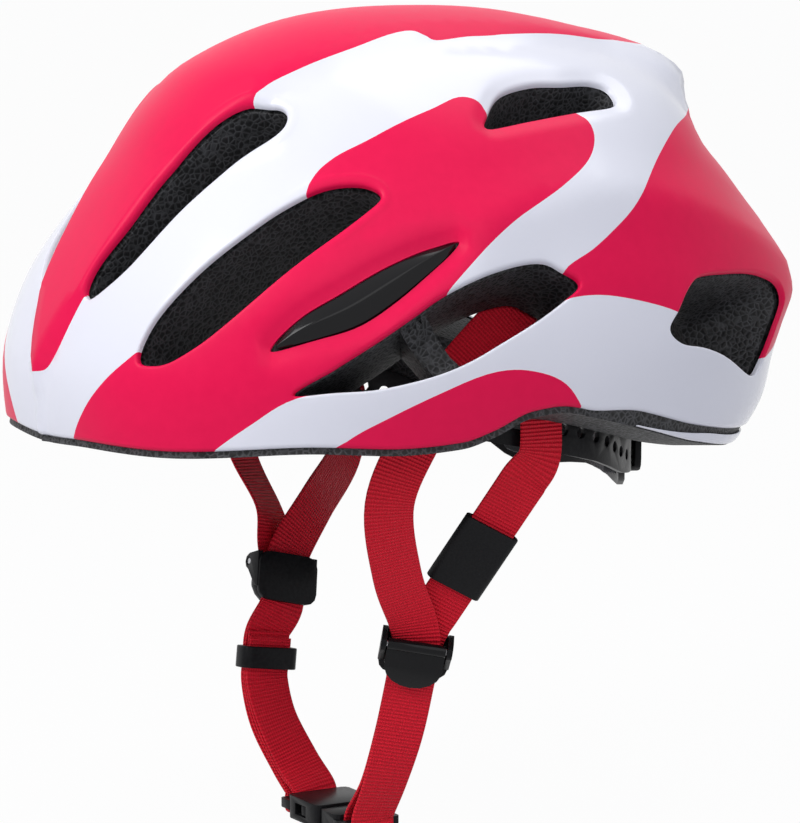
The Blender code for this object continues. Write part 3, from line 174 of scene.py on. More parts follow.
def spline(points, per_span, closed=False):
    """Catmull-Rom curve through the points."""
    p = np.asarray(points, float)
    n = len(p)
    spans = n if closed else n - 1
    out = []
    for i in range(spans):
        if closed:
            a, b, c, d = p[i - 1], p[i], p[(i + 1) % n], p[(i + 2) % n]
        else:
            a, b, c, d = p[max(i - 1, 0)], p[i], p[i + 1], p[min(i + 2, n - 1)]
        for t in np.arange(per_span) / per_span:
            out.append(0.5 * (2 * b + (c - a) * t + (2 * a - 5 * b + 4 * c - d) * t ** 2
                              + (3 * b - a - 3 * c + d) * t ** 3))
    if not closed:
        out.append(p[-1])
    return np.array(out)


def mirror(loop):
    return np.asarray(loop, float)[::-1] * (-1, 1)


def refine(loop, pitch):
    """Split the long edges of a closed loop."""
    out = []
    for a, b in zip(loop, np.roll(loop, -1, axis=0)):
        count = max(1, math.ceil(np.linalg.norm(b - a) / pitch))
        out += [a + (b - a) * i / count for i in range(count)]
    return np.array(out)


def line_distance(pts, line, closed=False):
    """Distance of 2-D points from a polyline."""
    line = np.asarray(line, float)
    if closed:
        line = np.vstack([line, line[:1]])
    best = np.full(len(pts), 1e9)
    for a, b in zip(line[:-1], line[1:]):
        ab = b - a
        t = np.clip(((pts - a) @ ab) / max(ab @ ab, 1e-12), 0, 1)
        best = np.minimum(best, np.linalg.norm(pts - a - t[:, None] * ab, axis=1))
    return best


def inside(pts, loop):
    """Which 2-D points lie in a closed loop."""
    hit = np.zeros(len(pts), bool)
    x, y = pts[:, 0], pts[:, 1]
    for (x0, y0), (x1, y1) in zip(loop, np.roll(loop, -1, axis=0)):
        cross = (y0 > y) != (y1 > y)
        with np.errstate(divide="ignore", invalid="ignore"):
            hit ^= cross & (x < (x1 - x0) * (y - y0) / (y1 - y0) + x0)
    return hit


def directions(uv):
    uv = np.asarray(uv, float)
    rho = np.maximum(np.hypot(uv[:, 0], uv[:, 1]), 1e-6)
    turn = rho / MAP_RADIUS
    return np.stack([np.sin(turn) * uv[:, 0] / rho, np.sin(turn) * uv[:, 1] / rho, np.cos(turn)], 1)


def dome_radius(d):
    rise = np.degrees(np.arcsin(np.clip(d[:, 2], -1, 1)))
    across = np.abs(d[:, 0]) + 1e-9
    flat = np.hypot(across, d[:, 1])
    across = across / flat
    along = d[:, 1] / flat
    long_axis = np.where(along < 0, smooth(FRONT_PROFILE, rise), smooth(REAR_PROFILE, rise))
    short_axis = smooth(SIDE_PROFILE, rise)
    power = np.where(along < 0, smooth(FRONT_POWER, rise), smooth(REAR_POWER, rise))
    return ((np.abs(along) / long_axis) ** power + (across / short_axis) ** power) ** (-1 / power)


def bodywork(uv):
    """Height of ribs, creases and sinkings over the plain dome."""
    side = np.stack([np.abs(uv[:, 0]), uv[:, 1]], 1)
    half = np.interp(uv[:, 1], [k[0] for k in RIB_HALF_WIDTH], [k[1] for k in RIB_HALF_WIDTH])
    rib = RIB_RISE * ease((half - side[:, 0]) / RIB_EDGE + 0.5) * ease((95 - uv[:, 1]) / 40)
    crease = np.clip(1 - line_distance(side, spline(CREASE_LINE, 4)) / CREASE_REACH, 0, 1) ** 1.5
    deck = (ease((uv[:, 1] - DECK_EDGE + DECK_LENGTH) / DECK_LENGTH)
            * ease((DECK_EDGE + 4 - uv[:, 1]) / 5) * ease((DECK_HALF_WIDTH - side[:, 0]) / 16))
    leaf = spline(INSERT, 3, True)
    sink = np.where(inside(side, leaf), 1.0, ease(1 - line_distance(side, leaf, True) / INSERT_LIP))
    return rib + CREASE_RISE * crease + DECK_RISE * deck - INSERT_SINK * sink


def shell_surface(uv, depth):
    d = directions(uv)
    return d * (dome_radius(d) + bodywork(uv) - depth)[:, None]


def head_surface(uv, inset):
    """Inside of the liner, moved inwards by inset."""
    d = directions(uv)
    long_axis = np.where(d[:, 1] < 0, HEAD_FRONT, HEAD_REAR)
    r = ((d[:, 0] / HEAD_HALF_WIDTH) ** 2 + (d[:, 1] / long_axis) ** 2
         + (d[:, 2] / HEAD_DEPTH) ** 2) ** -0.5
    return d * (r - inset)[:, None]


def lining(u, v, inset, sign=1):
    """Strap station inside the liner: a point and the way out through the liner there."""
    p = head_surface(np.array([[u, v]], float), inset)[0]
    long_axis = HEAD_FRONT if p[1] < 0 else HEAD_REAR
    return p, sign * unit(p / np.square((HEAD_HALF_WIDTH, long_axis, HEAD_DEPTH)))


def rim_loop(angles, rise):
    """Rim on the flat map at angles round from the front; rise is the height above the rim."""
    height = smooth(RIM_HEIGHT, np.abs(angles)) + rise
    a = np.radians(angles)
    lift = height / 110
    for _ in range(8):
        d = np.stack([np.cos(lift) * np.sin(a), -np.cos(lift) * np.cos(a), np.sin(lift)], 1)
        lift = np.arcsin(height / dome_radius(d))
    rho = (math.pi / 2 - lift) * MAP_RADIUS
    return np.stack([rho * np.sin(a), -rho * np.cos(a)], 1)


def triangulate(loops, pitch=None, lines=()):
    """Flat triangle mesh that keeps every loop and line as edges."""
    pts = []
    edges = []
    for loop in loops:
        start = len(pts)
        pts += [tuple(p) for p in loop]
        edges += [(start + i, start + (i + 1) % len(loop)) for i in range(len(loop))]
    for line in lines:
        start = len(pts)
        pts += [tuple(p) for p in line]
        edges += [(start + i, start + i + 1) for i in range(len(line) - 1)]
    if pitch:
        lo, hi = np.min(loops[0], axis=0), np.max(loops[0], axis=0)
        row = pitch * math.sqrt(0.75)
        rows = np.arange(math.floor(lo[1] / row), math.ceil(hi[1] / row) + 1)
        cols = np.arange(math.floor(lo[0] / pitch) - 1, math.ceil(hi[0] / pitch) + 2)
        grid = np.array([(pitch * (c + 0.5 * (r % 2)), row * r) for r in rows for c in cols], float)
        keep = inside(grid, np.asarray(loops[0]))
        for loop in loops:
            keep &= line_distance(grid, loop, True) > 0.6 * pitch
        for line in lines:
            keep &= line_distance(grid, line) > 0.6 * pitch
        pts += [tuple(p) for p in grid[keep]]
    found = geometry.delaunay_2d_cdt([Vector(p) for p in pts], edges, [], 0, 1e-5, False)
    return np.array([(v.x, v.y) for v in found[0]]), np.array(found[2])


def put(name, verts, faces):
    """New object from points in mm, with its faces turned outwards."""
    verts = np.asarray(verts, float)
    middle = verts.mean(axis=0)
    volume = 0.0
    for f in faces:
        p = verts[list(f)] - middle
        for i in range(1, len(f) - 1):
            volume += p[0] @ np.cross(p[i], p[i + 1])
    if volume < 0:
        faces = [list(f)[::-1] for f in faces]
    mesh = bpy.data.meshes.new(name)
    mesh.from_pydata([tuple(v) for v in verts * 0.001], [], [list(f) for f in faces])
    mesh.validate()
    mesh.update()
    obj = bpy.data.objects.new(name, mesh)
    bpy.context.scene.collection.objects.link(obj)
    return obj


def loft(name, rings):
    """Closed solid through rings of equal point count, with flat ends."""
    n = len(rings[0])
    verts = np.vstack(rings)
    faces = []
    for k in range(len(rings) - 1):
        for i in range(n):
            j = (i + 1) % n
            a, b = k * n + i, k * n + j
            faces += [[a, b, b + n], [a, b + n, a + n]]
    faces.append(list(range(n))[::-1])
    faces.append([(len(rings) - 1) * n + i for i in range(n)])
    return put(name, verts, faces)


def rounded(width, height, radius, centre=(0, 0), steps=3):
    """Rectangle with round corners, anticlockwise."""
    out = []
    corners = ((1, 1, 0), (-1, 1, 90), (-1, -1, 180), (1, -1, 270))
    for sx, sy, start in corners:
        for a in np.radians(start + np.arange(steps + 1) * 90 / steps):
            out.append((centre[0] + sx * (width / 2 - radius) + radius * math.cos(a),
                        centre[1] + sy * (height / 2 - radius) + radius * math.sin(a)))
    return np.array(out)


def frame_of(up, facing):
    """Axes of a fitting: across the strap, up the strap, out from the face."""
    up = unit(up)
    facing = np.asarray(facing, float)
    out = unit(facing - up * (facing @ up))
    return np.cross(up, out), up, out


def ribbon_frames(stations, per_span):
    """Centre, width and face directions along a strap from (point, facing) stations."""
    centre = spline([s[0] for s in stations], per_span)
    facing = unit(spline([unit(s[1]) for s in stations], per_span))
    run = unit(np.gradient(centre, axis=0))
    wide = unit(np.cross(run, facing))
    return centre, wide, np.cross(wide, run)


def strap_routes():
    """Stations of each strap: point on the centre line and the way its outer face looks."""
    across, up, out = frame_of(LEFT_DIVIDER_UP, LEFT_DIVIDER_FACING)
    hub = np.array(LEFT_DIVIDER)
    layer = WEBBING_THICKNESS + LAYER_GAP
    step = layer / 2 + 0.2
    bar = np.array(BUCKLE_CENTRE) + (MALE_BAR, 0, 0)
    wrap = BAR_HALF + FIT_GAP + WEBBING_THICKNESS / 2
    side = np.array([1.0, 0, 0])
    down = np.array([0, 0, -1.0])

    front = [lining(113, 21, 1.2), lining(131, 4, 1.2), lining(146, -22, 1.6), lining(162, -56, 2.2),
             lining(180, -94, 3.0), ((64, -43, -8), (0.93, -0.36, -0.05)),
             ((54, -34.5, -33), (0.92, -0.38, -0.15)), (hub + 12 * up - 2.2 * across + step * out, out),
             (hub + 2 * up + step * out, out), (hub - 12 * up + step * out, out)]
    chin = [((33, -22, -91), (0.9, -0.35, -0.25)), ((27.5, -24.5, -108), (0.95, -0.12, -0.3))]
    turn = [(bar + wrap * side + (0.6, 0, 3.5), side), (bar + wrap * side, side),
            (bar + 0.9 * wrap * (side + down), side + down),
            (bar + wrap * down, down), (bar + 0.9 * wrap * (down - side), down - side),
            (bar - wrap * side, -side), (bar - (wrap - 0.6) * side + (0, 0, 3.5), -side)]
    outer = [(np.array(p) + step * unit(f), f) for p, f in chin]
    inner = [(np.array(p) - step * unit(f), -np.array(f)) for p, f in reversed(chin)]
    rear_run = rear_line()
    rear = [(hub - 12 * up - step * out, -out), (hub + 2 * up - step * out, -out)]
    rear += [(p, -rear_run[2]) for p in rear_run[0]]
    rear += [((75.2, 6.5, 10), (-1, 0, 0)), lining(186, 17, 3.2, -1), lining(172, 27, 2.4, -1),
             lining(148, 48, 1.6, -1), lining(113, 70, 1.2, -1)]
    left = front + outer + turn + inner + rear

    across, up, out = frame_of(RIGHT_DIVIDER_UP, RIGHT_DIVIDER_FACING)
    hub = np.array(RIGHT_DIVIDER)
    wide, axis, face = frame_of(KEEPER_AXIS, RIGHT_DIVIDER_FACING)
    ring = np.array(KEEPER_CENTRE)
    bar = np.array(BUCKLE_CENTRE) + (FEMALE_BAR, 0, 0)
    low = [((-34.0, -33.2, -97), (-0.95, -0.1, -0.25)), ((-27.5, -28.5, -111), (-0.95, 0.0, -0.3))]
    made = []
    for order, name in ((1, "front"), (0, "rear")):
        away = layer * (order + 0.5)
        round_bar = BAR_HALF + FIT_GAP + WEBBING_THICKNESS / 2 + order * layer
        spread = (order - 0.5) * (layer + 0.4)
        if name == "front":
            path = [lining(-113, 21, 1.2), lining(-131, 4, 1.2), lining(-146, -22, 1.6),
                    lining(-166, -52, 2.2), lining(-186, -74, 3.0), ((-66, -28, -8), (-0.9, -0.45, -0.05)),
                    (hub + 26 * up + 4.5 * across + 4.6 * out, (-0.87, -0.48, -0.1)),
                    (hub + 12 * up + 2.0 * across + (spread + 0.4) * out, out)]
        else:
            path = [lining(-113, 70, 1.2), lining(-148, 50, 1.6), lining(-172, 36, 2.4),
                    lining(-186, 30, 3.2), ((-75.2, 19, 6), (-1, 0, 0)),
                    ((-72.5, 17, -12), (-0.92, -0.35, -0.2)),
                    (hub + 30 * up - 13 * across + 1.0 * out, (-0.88, -0.4, -0.3)),
                    (hub + 12 * up - 2.2 * across + (spread - 0.4) * out, out)]
        path += [(hub + 2 * up + spread * out, out), (hub - 9 * up + spread * out, out)]
        path += [(ring + 8 * axis + away * face, face), (ring + away * face, face),
                 (ring - 8 * axis + away * face, face)]
        loose = away * 1.25
        path += [(np.array(p) + loose * unit(f), f) for p, f in low]
        path += [(bar - round_bar * side + (-0.5, 0, 4), -side), (bar - round_bar * side, -side),
                 (bar + 0.9 * round_bar * (down - side), down - side), (bar + round_bar * down, down),
                 (bar + 0.9 * round_bar * (down + side), down + side), (bar + round_bar * side, side),
                 (bar + round_bar * unit((0.9, 0, 0.4)) + (-0.4, 0, 3.2), (0.9, 0, 0.4))]
        path += [(np.array(p) - loose * unit(f), -np.array(f)) for p, f in reversed(low)]
        path += [(ring - 8 * axis - away * face, -face), (ring - away * face, -face),
                 (ring + (9 - 2 * order) * axis - away * face, -face)]
        made.append(path)
    return left, made[0], made[1]


def rear_line():
    """Straight run of the left rear strap that the sleeve slides on."""
    top = np.array([73.4, 1.5, -2.0])
    across, up, out = frame_of(LEFT_DIVIDER_UP, LEFT_DIVIDER_FACING)
    foot = np.array(LEFT_DIVIDER) + 12 * up + 2.2 * across - 0.9 * out
    wide, along, face = frame_of(top - foot, (0.9, -0.4, -0.2))
    return [foot + t * (top - foot) for t in (0, 0.1, 0.5, 0.9, 1)], along, face, wide


# Paint: closed areas of red on a white shell, left half, on the same flat map.
RED_CROWN = ((0, -193), (7, -191), (12.5, -185), (16.5, -175), (21, -163), (27, -150), (33, -122),
             (40, -94), (41, -84), (37, -81), (35.5, -75), (36, -62), (36, -40), (34, -20), (36, -14),
             (38, -10), (37, 2), (36, 16), (31, 41), (27, 60), (20, 77), (0, 88))
RED_FLANK = ((26, -224), (34, -209), (43, -197), (54, -184), (66, -169), (78, -150), (86, -118),
             (84, -98), (77, -88), (73, -81), (72, -72), (73, -56), (71, -32), (68, -18), (71, -11),
             (77, -7), (72, 10), (70, 24), (74.5, 29), (82, 32.5), (90, 30.5), (98, 24), (106, 13),
             (113, 0), (120, -18), (129, -39), (138, -60), (147, -76), (149, -100), (142, -121),
             (131, -142), (124, -159), (115, -177), (106, -193), (96, -224))
RED_TAIL = ((0, 101), (20, 101), (36, 96), (50, 88), (66, 76), (84, 63.5), (101, 52), (112, 44),
            (121, 34), (130, 21), (138, 5), (144, 8), (150, -1), (148.5, 8), (147, 24), (146, 48),
            (144, 72), (142, 95), (128, 125), (112, 150), (104, 160), (60, 178), (0, 186))
RED_SKIRT = ((156, -156), (160, -130), (166, -104), (170, -76), (172, -42), (176, -19), (183, 2),
             (196, 18), (215, 40), (225, -40), (205, -150))
# Rolled vent edges: width and depth; the crown vents sit in a wider dip.
ROLL = 1.1
CROWN_DIP = (7.0, 1.4)
# Raised bead round the upper ends of the front slots.
BEAD_RISE = 0.55
BEAD_AT = 2.6
FINE_PITCH = 5.0
# Pads: width of the rounded edge, and the sewn channels across the brow and crown pads.
PAD_EDGE = 6.0
CHANNEL_DEPTH = 1.6
CHANNEL_HALF_WIDTH = 2.5
BROW_CHANNELS = (np.array([1.0, 0.0]), 42.0)
CROWN_CHANNELS = (np.array([0.0, 1.0]), 36.0)
# Left strap: the station where it crosses the cradle arm, its shift there, and, in metres, the ends of the
# stretch below the divider, handed on with the buckle's male half but not used to bend the strap.
ARM_CROSSING = 28
ARM_CLEARANCE = (0.3, -0.5, -4.0)
CHIN_BEND = ((0.038, -0.021, -0.076), (0.023, -0.026, -0.117))
PHOTO_SIZE = (800, 823)
ORIGIN_PIXEL = (406, 446)
FOCAL_PIXELS = 3700.0
VIEW_AZIMUTH, VIEW_ELEVATION, VIEW_DISTANCE = 60.0, 8.0, 1.25
LAMP_DISTANCE = 1.3
# Lamp name, azimuth and elevation of its place, size (m), power (W).
LAMPS = (("key", 12, 43, 0.7, 11.2),
         ("fill", 85, 36, 1.0, 3.9),
         ("rim", 185, 68, 0.8, 4.2))
WORLD_COLOUR = (0.80, 0.86, 1.0)
WORLD_LIGHT = 0.36
FLOOR_GLOW = 0.965


def node(tree, kind, **values):
    made = tree.nodes.new("ShaderNode" + kind)
    for key, value in values.items():
        if key in made.inputs:
            made.inputs[key].default_value = value
        else:
            setattr(made, key, value)
    return made


def material(name, colour, rough, metal=0.0, sheen=0.0, specular=0.5):
    mat = bpy.data.materials.new(name)
    mat.use_nodes = True
    mat.diffuse_color = (*colour, 1)
    shader = mat.node_tree.nodes["Principled BSDF"]
    for key, value in (("Base Color", (*colour, 1)), ("Roughness", rough), ("Metallic", metal),
                       ("Sheen Weight", sheen), ("Specular IOR Level", specular)):
        shader.inputs[key].default_value = value
    return mat


def link(tree, a, out, b, into):
    tree.links.new(a.outputs[out], b.inputs[into])


def grain(mat, scale, strength, distance, colour=None, spread=0.0, rough=None):
    """Fine uneven surface: bump, a little colour change and a little roughness change from one noise."""
    tree = mat.node_tree
    shader = tree.nodes["Principled BSDF"]
    place = node(tree, "TexCoord")
    noise = node(tree, "TexNoise", Scale=scale, Detail=4.0)
    link(tree, place, "Object", noise, "Vector")
    bump = node(tree, "Bump", Strength=strength, Distance=distance)
    link(tree, noise, "Fac", bump, "Height")
    link(tree, bump, "Normal", shader, "Normal")
    if colour:
        ramp = node(tree, "ValToRGB")
        ramp.color_ramp.elements[0].position = 0.5 - spread
        ramp.color_ramp.elements[1].position = 0.5 + spread
        ramp.color_ramp.elements[0].color = (*colour[0], 1)
        ramp.color_ramp.elements[1].color = (*colour[1], 1)
        link(tree, noise, "Fac", ramp, "Fac")
        link(tree, ramp, "Color", shader, "Base Color")
    if rough:
        range_node = node(tree, "MapRange", **{"To Min": rough[0], "To Max": rough[1]})
        link(tree, noise, "Fac", range_node, "Value")
        link(tree, range_node, "Result", shader, "Roughness")
    return mat


def bead_foam():
    """Black foam of pressed beads, each cell a little dished."""
    mat = material("bead_foam", (0.02, 0.02, 0.022), 0.6, specular=0.3)
    tree = mat.node_tree
    shader = tree.nodes["Principled BSDF"]
    place = node(tree, "TexCoord")
    edge = node(tree, "TexVoronoi", Scale=540.0, feature="DISTANCE_TO_EDGE")
    cell = node(tree, "TexVoronoi", Scale=540.0)
    ramp = node(tree, "ValToRGB")
    ramp.color_ramp.elements[0].position = 0.03
    ramp.color_ramp.elements[1].position = 0.20
    ramp.color_ramp.elements[0].color = (0.050, 0.050, 0.053, 1)
    ramp.color_ramp.elements[1].color = (0.007, 0.007, 0.008, 1)
    tone = node(tree, "MapRange", **{"To Min": 0.55, "To Max": 1.5})
    mix = node(tree, "Mix", data_type="RGBA", blend_type="MULTIPLY")
    mix.inputs[0].default_value = 1.0
    bump = node(tree, "Bump", Strength=0.8, Distance=0.0006)
    for tex in (edge, cell):
        link(tree, place, "Object", tex, "Vector")
    link(tree, edge, "Distance", ramp, "Fac")
    link(tree, cell, "Color", tone, "Value")
    tree.links.new(ramp.outputs["Color"], mix.inputs[6])
    tree.links.new(tone.outputs["Result"], mix.inputs[7])
    tree.links.new(mix.outputs[2], shader.inputs["Base Color"])
    link(tree, edge, "Distance", bump, "Height")
    link(tree, bump, "Normal", shader, "Normal")
    return mat


def webbing():
    """Ribbed polyester tape: ribs across the tape, fine yarns along it, from the piece's own UVs in mm; its
    colour is painted shade in the grooves and painted highlight on the crests.
    """
    mat = material("red_webbing", (0.66, 0.006, 0.022), 0.55, sheen=0.05, specular=0.18)
    tree = mat.node_tree
    shader = tree.nodes["Principled BSDF"]
    place = node(tree, "TexCoord")
    split = node(tree, "SeparateXYZ")
    link(tree, place, "UV", split, "Vector")
    waves = []
    for axis, pitch in (("Y", 0.00125), ("X", 0.0009)):
        scaled = node(tree, "Math", operation="MULTIPLY")
        scaled.inputs[1].default_value = 2 * math.pi / pitch
        wave = node(tree, "Math", operation="SINE")
        link(tree, split, axis, scaled, 0)
        link(tree, scaled, 0, wave, 0)
        waves.append(wave)
    both = node(tree, "Math", operation="MULTIPLY_ADD")
    link(tree, waves[1], 0, both, 0)
    both.inputs[1].default_value = 0.35
    link(tree, waves[0], 0, both, 2)
    bump = node(tree, "Bump", Strength=0.7, Distance=0.00022)
    link(tree, both, 0, bump, "Height")
    link(tree, bump, "Normal", shader, "Normal")
    # Base colour follows the rib and yarn height: painted shade in the grooves, painted highlight on the
    # crests.
    ramp = node(tree, "ValToRGB")
    ramp.color_ramp.elements[0].color = (0.60, 0.004, 0.016, 1)
    ramp.color_ramp.elements[1].color = (0.88, 0.010, 0.034, 1)
    shade = node(tree, "MapRange", **{"From Min": -1.3, "From Max": 1.3})
    link(tree, both, 0, shade, "Value")
    link(tree, shade, "Result", ramp, "Fac")
    link(tree, ramp, "Color", shader, "Base Color")
    return mat


def show(obj, body, mats, *nodes, angle=35, blend=None):
    """Seat a finished piece: materials, shading, the body it rides on and the CAD nodes it stands for.

    A piece given a blend has its place baked into its mesh and rides on no body; the second body and the
    bend's ends in blend are not used.
    """
    mesh = obj.data
    for mat in mats if isinstance(mats, (list, tuple)) else (mats,):
        mesh.materials.append(mat)
    mesh.shade_smooth()
    mesh.set_sharp_from_angle(angle=math.radians(angle))
    if blend:
        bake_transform(obj)
    else:
        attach(obj, body)
    if nodes:
        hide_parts(*nodes)
    return obj


def offset_loop(loop, away):
    """Closed loop moved outwards."""
    loop = np.asarray(loop, float)
    run = unit(np.roll(loop, -1, axis=0) - np.roll(loop, 1, axis=0))
    area = np.sum(loop[:, 0] * np.roll(loop[:, 1], -1) - np.roll(loop[:, 0], -1) * loop[:, 1])
    normal = np.stack([run[:, 1], -run[:, 0]], 1) * np.sign(area)
    return loop + away * normal


def closed(line):
    return np.vstack([line, line[:1]])


def layers(name, tris, tops):
    """Closed solid from a triangle sheet: first and last layers are faces, those between shape walls."""
    used = np.unique(tris)
    place = {v: i for i, v in enumerate(used)}
    n = len(used)
    t = [[place[v] for v in f] for f in tris]
    edges = {(f[i], f[(i + 1) % 3]) for f in t for i in range(3)}
    border = [(a, b) for a, b in sorted(edges) if (b, a) not in edges]
    rim = sorted({v for e in border for v in e})
    spot = {v: i for i, v in enumerate(rim)}
    verts = [tops[0][used], tops[-1][used]] + [layer[used][rim] for layer in tops[1:-1]]
    faces = [list(f) for f in t] + [[v + n for v in reversed(f)] for f in t]
    steps = [lambda v: v]
    for k in range(len(tops) - 2):
        steps.append(lambda v, k=k: 2 * n + k * len(rim) + spot[v])
    steps.append(lambda v: v + n)
    for upper, lower in zip(steps[:-1], steps[1:]):
        for a, b in border:
            faces.append([upper(b), upper(a), lower(a), lower(b)])
    return put(name, np.vstack(verts), faces), len(t)


def dress_dome(paint, foam_mat, trim):
    vents = []
    for vent in (BROW_SLOT, TEMPLE_SLOT, SIDE_VENT, CROWN_VENT, TAIL_VENT):
        loop = spline(vent, 6, True)
        vents += [loop, mirror(loop)]
    nape = list(NAPE_VENT) + [(-u, v) for u, v in NAPE_VENT[-2:0:-1]]
    vents.append(spline(nape, 6, True))
    leaf = spline(INSERT, 6, True)
    leaves = [leaf, mirror(leaf)]
    turns = np.linspace(-180, 180, 360, endpoint=False)
    rear = ease((np.abs(turns) - REAR_EDGE_START) / 14)
    foam_rim = rim_loop(turns, 0.0)
    shell_rim = rim_loop(turns, RIM_FOAM_EDGE + REAR_EDGE_RISE * rear)
    rings = [closed(offset_loop(loop, ROLL * s)) for loop in vents for s in (0.15, 0.4, 0.75, 1.2)]
    crown = spline(CROWN_VENT, 6, True)
    crown = [crown, mirror(crown)]
    rings += [closed(offset_loop(loop, s)) for loop in crown for s in (3.2, 4.6, 6.2, 7.6)]
    front_slots = vents[:4]
    rings += [closed(offset_loop(loop, BEAD_AT + s)) for loop in front_slots for s in (0, 1.2, 2.4)]
    rib = np.array(RIB_HALF_WIDTH[1:], float)
    for s in (-0.5, 0.5):
        side = np.stack([np.interp(np.arange(-188, 90, 6.0), rib[:, 0], rib[:, 1]) + s * RIB_EDGE,
                         np.arange(-188, 90, 6.0)], 1)
        rings += [side, side * (-1, 1)]
    leaf_steps = (-0.6, 0.8, INSERT_LIP / 2, INSERT_LIP)
    rings += [closed(offset_loop(loop, s)) for loop in leaves for s in leaf_steps]
    rings += [rim_loop(turns, RIM_FOAM_EDGE + REAR_EDGE_RISE * rear + s) for s in (0.5, 1.4)]
    reds = []
    for area in (RED_CROWN, RED_TAIL):
        half = spline(area, 5)
        reds.append(np.vstack([half, mirror(half)[1:-1]]))
    for area in (RED_FLANK, RED_SKIRT):
        loop = spline(area, 5, True)
        reds += [loop, mirror(loop)]
    lines = rings + [closed(loop) for loop in reds]
    span = np.array(BRIDGE_FOOT, float) - BRIDGE_TOP
    aside = np.array([-span[1], span[0]]) / np.linalg.norm(span) * BRIDGE_HALF_WIDTH
    steps = np.linspace(0, 1, 19)[:, None]
    bridges = []
    for s in (1, -1):
        for shift in (-1, -0.5, 0, 0.5, 1):
            lines.append((BRIDGE_TOP + steps * span + shift * aside) * (s, 1))
        edge = np.vstack([BRIDGE_TOP + steps * span + aside, (BRIDGE_TOP + steps * span - aside)[::-1]])
        bridges.append(edge * (s, 1))

    pts, tris = triangulate([foam_rim, shell_rim] + vents + leaves, FINE_PITCH, lines)
    mid = pts[tris].mean(axis=1)
    in_vent = np.any([inside(mid, loop) for loop in vents], axis=0)
    in_leaf = np.any([inside(mid, loop) for loop in leaves], axis=0)
    on_bridge = np.any([inside(mid, loop) for loop in bridges], axis=0) & in_vent
    is_red = np.any([inside(mid, loop) for loop in reds], axis=0)
    to_vent = np.min([line_distance(pts, loop, True) for loop in vents], axis=0)
    to_rim = line_distance(pts, shell_rim, True)

    roll = ROLL - np.sqrt(np.maximum(ROLL ** 2 - np.maximum(ROLL - to_vent, 0) ** 2, 0))
    roll = roll + 0.8 - np.sqrt(np.maximum(0.64 - np.maximum(0.8 - to_rim, 0) ** 2, 0))
    to_crown = np.min([line_distance(pts, loop, True) for loop in crown], axis=0)
    roll = roll + CROWN_DIP[1] * ease(1 - to_crown / CROWN_DIP[0]) ** 1.3
    to_slot = np.min([line_distance(pts, loop, True) for loop in front_slots], axis=0)
    roll = roll - BEAD_RISE * np.exp(-((to_slot - BEAD_AT) / 1.3) ** 2) * ease((pts[:, 1] + 105) / 25)
    keep = inside(mid, shell_rim) & ~in_vent & ~in_leaf
    shell, count = layers("shell", tris[keep], [shell_surface(pts, roll), shell_surface(pts, roll + 0.9)])
    finish = np.ones(len(shell.data.polygons), int)
    red = is_red[keep]
    finish[:count] = np.where(red, 0, 1)
    finish[count:2 * count] = 2
    walls = np.array([p.center[:] for p in shell.data.polygons])[2 * count:]
    tops = np.array([p.center[:] for p in shell.data.polygons])[:count]
    tree = kdtree.KDTree(count)
    for i, p in enumerate(tops):
        tree.insert(p, i)
    tree.balance()
    finish[2 * count:] = [finish[tree.find(p)[1]] for p in walls]
    shell.data.polygons.foreach_set("material_index", finish.astype(np.int32))
    show(shell, "helmet", [*paint, foam_mat], "outer_shell", angle=50)

    edge = line_distance(pts, foam_rim, True)
    turn = np.degrees(np.arctan2(np.abs(pts[:, 0]), -pts[:, 1]))
    depth = np.where((edge < 0.05) & (turn < REAR_EDGE_START), 0.5, SHELL_THICKNESS + 0.4)
    depth = depth + 2.4 * ease((5 - to_vent) / 2)
    in_open = np.any([inside(pts, loop) for loop in vents], axis=0)
    depth = np.where(in_open & (to_vent > 0.05), BRIDGE_DEPTH - 4 * ease((9 - to_vent) / 8), depth)
    keep = inside(mid, foam_rim) & (~in_vent | on_bridge)
    outer = shell_surface(pts, depth)
    inner = head_surface(pts, -LINER_RELIEF)
    between = [outer + (inner - outer) * t for t in (0.06, 0.35, 0.7, 0.95)]
    foam, count = layers("foam", tris[keep], [outer, *between, inner])
    show(foam, "helmet", foam_mat, "foam_liner", angle=40)

    back = np.linspace(REAR_EDGE_START + 12, 360 - REAR_EDGE_START - 12, 150)
    back = np.where(back > 180, back - 360, back)
    low, high = rim_loop(back, 0.4), rim_loop(back, REAR_EDGE_RISE)
    grown = 0.12 + 0.88 * ease((np.abs(back) - REAR_EDGE_START - 12) / 24)
    high = low + (high - low) * grown[:, None]
    bands = []
    for t, h in ((0, 1.0), (0, 0.3), (0.12, 0.0), (0.5, -0.15), (0.88, 0.0), (1, 0.3), (1, 1.0)):
        bands.append(shell_surface(low + (high - low) * t, h + 0.1))
    wrap = loft("rim_wrap", [np.array([band[i] for band in bands]) for i in range(len(back))])
    show(wrap, "helmet", trim, "rear_rim_wrap")


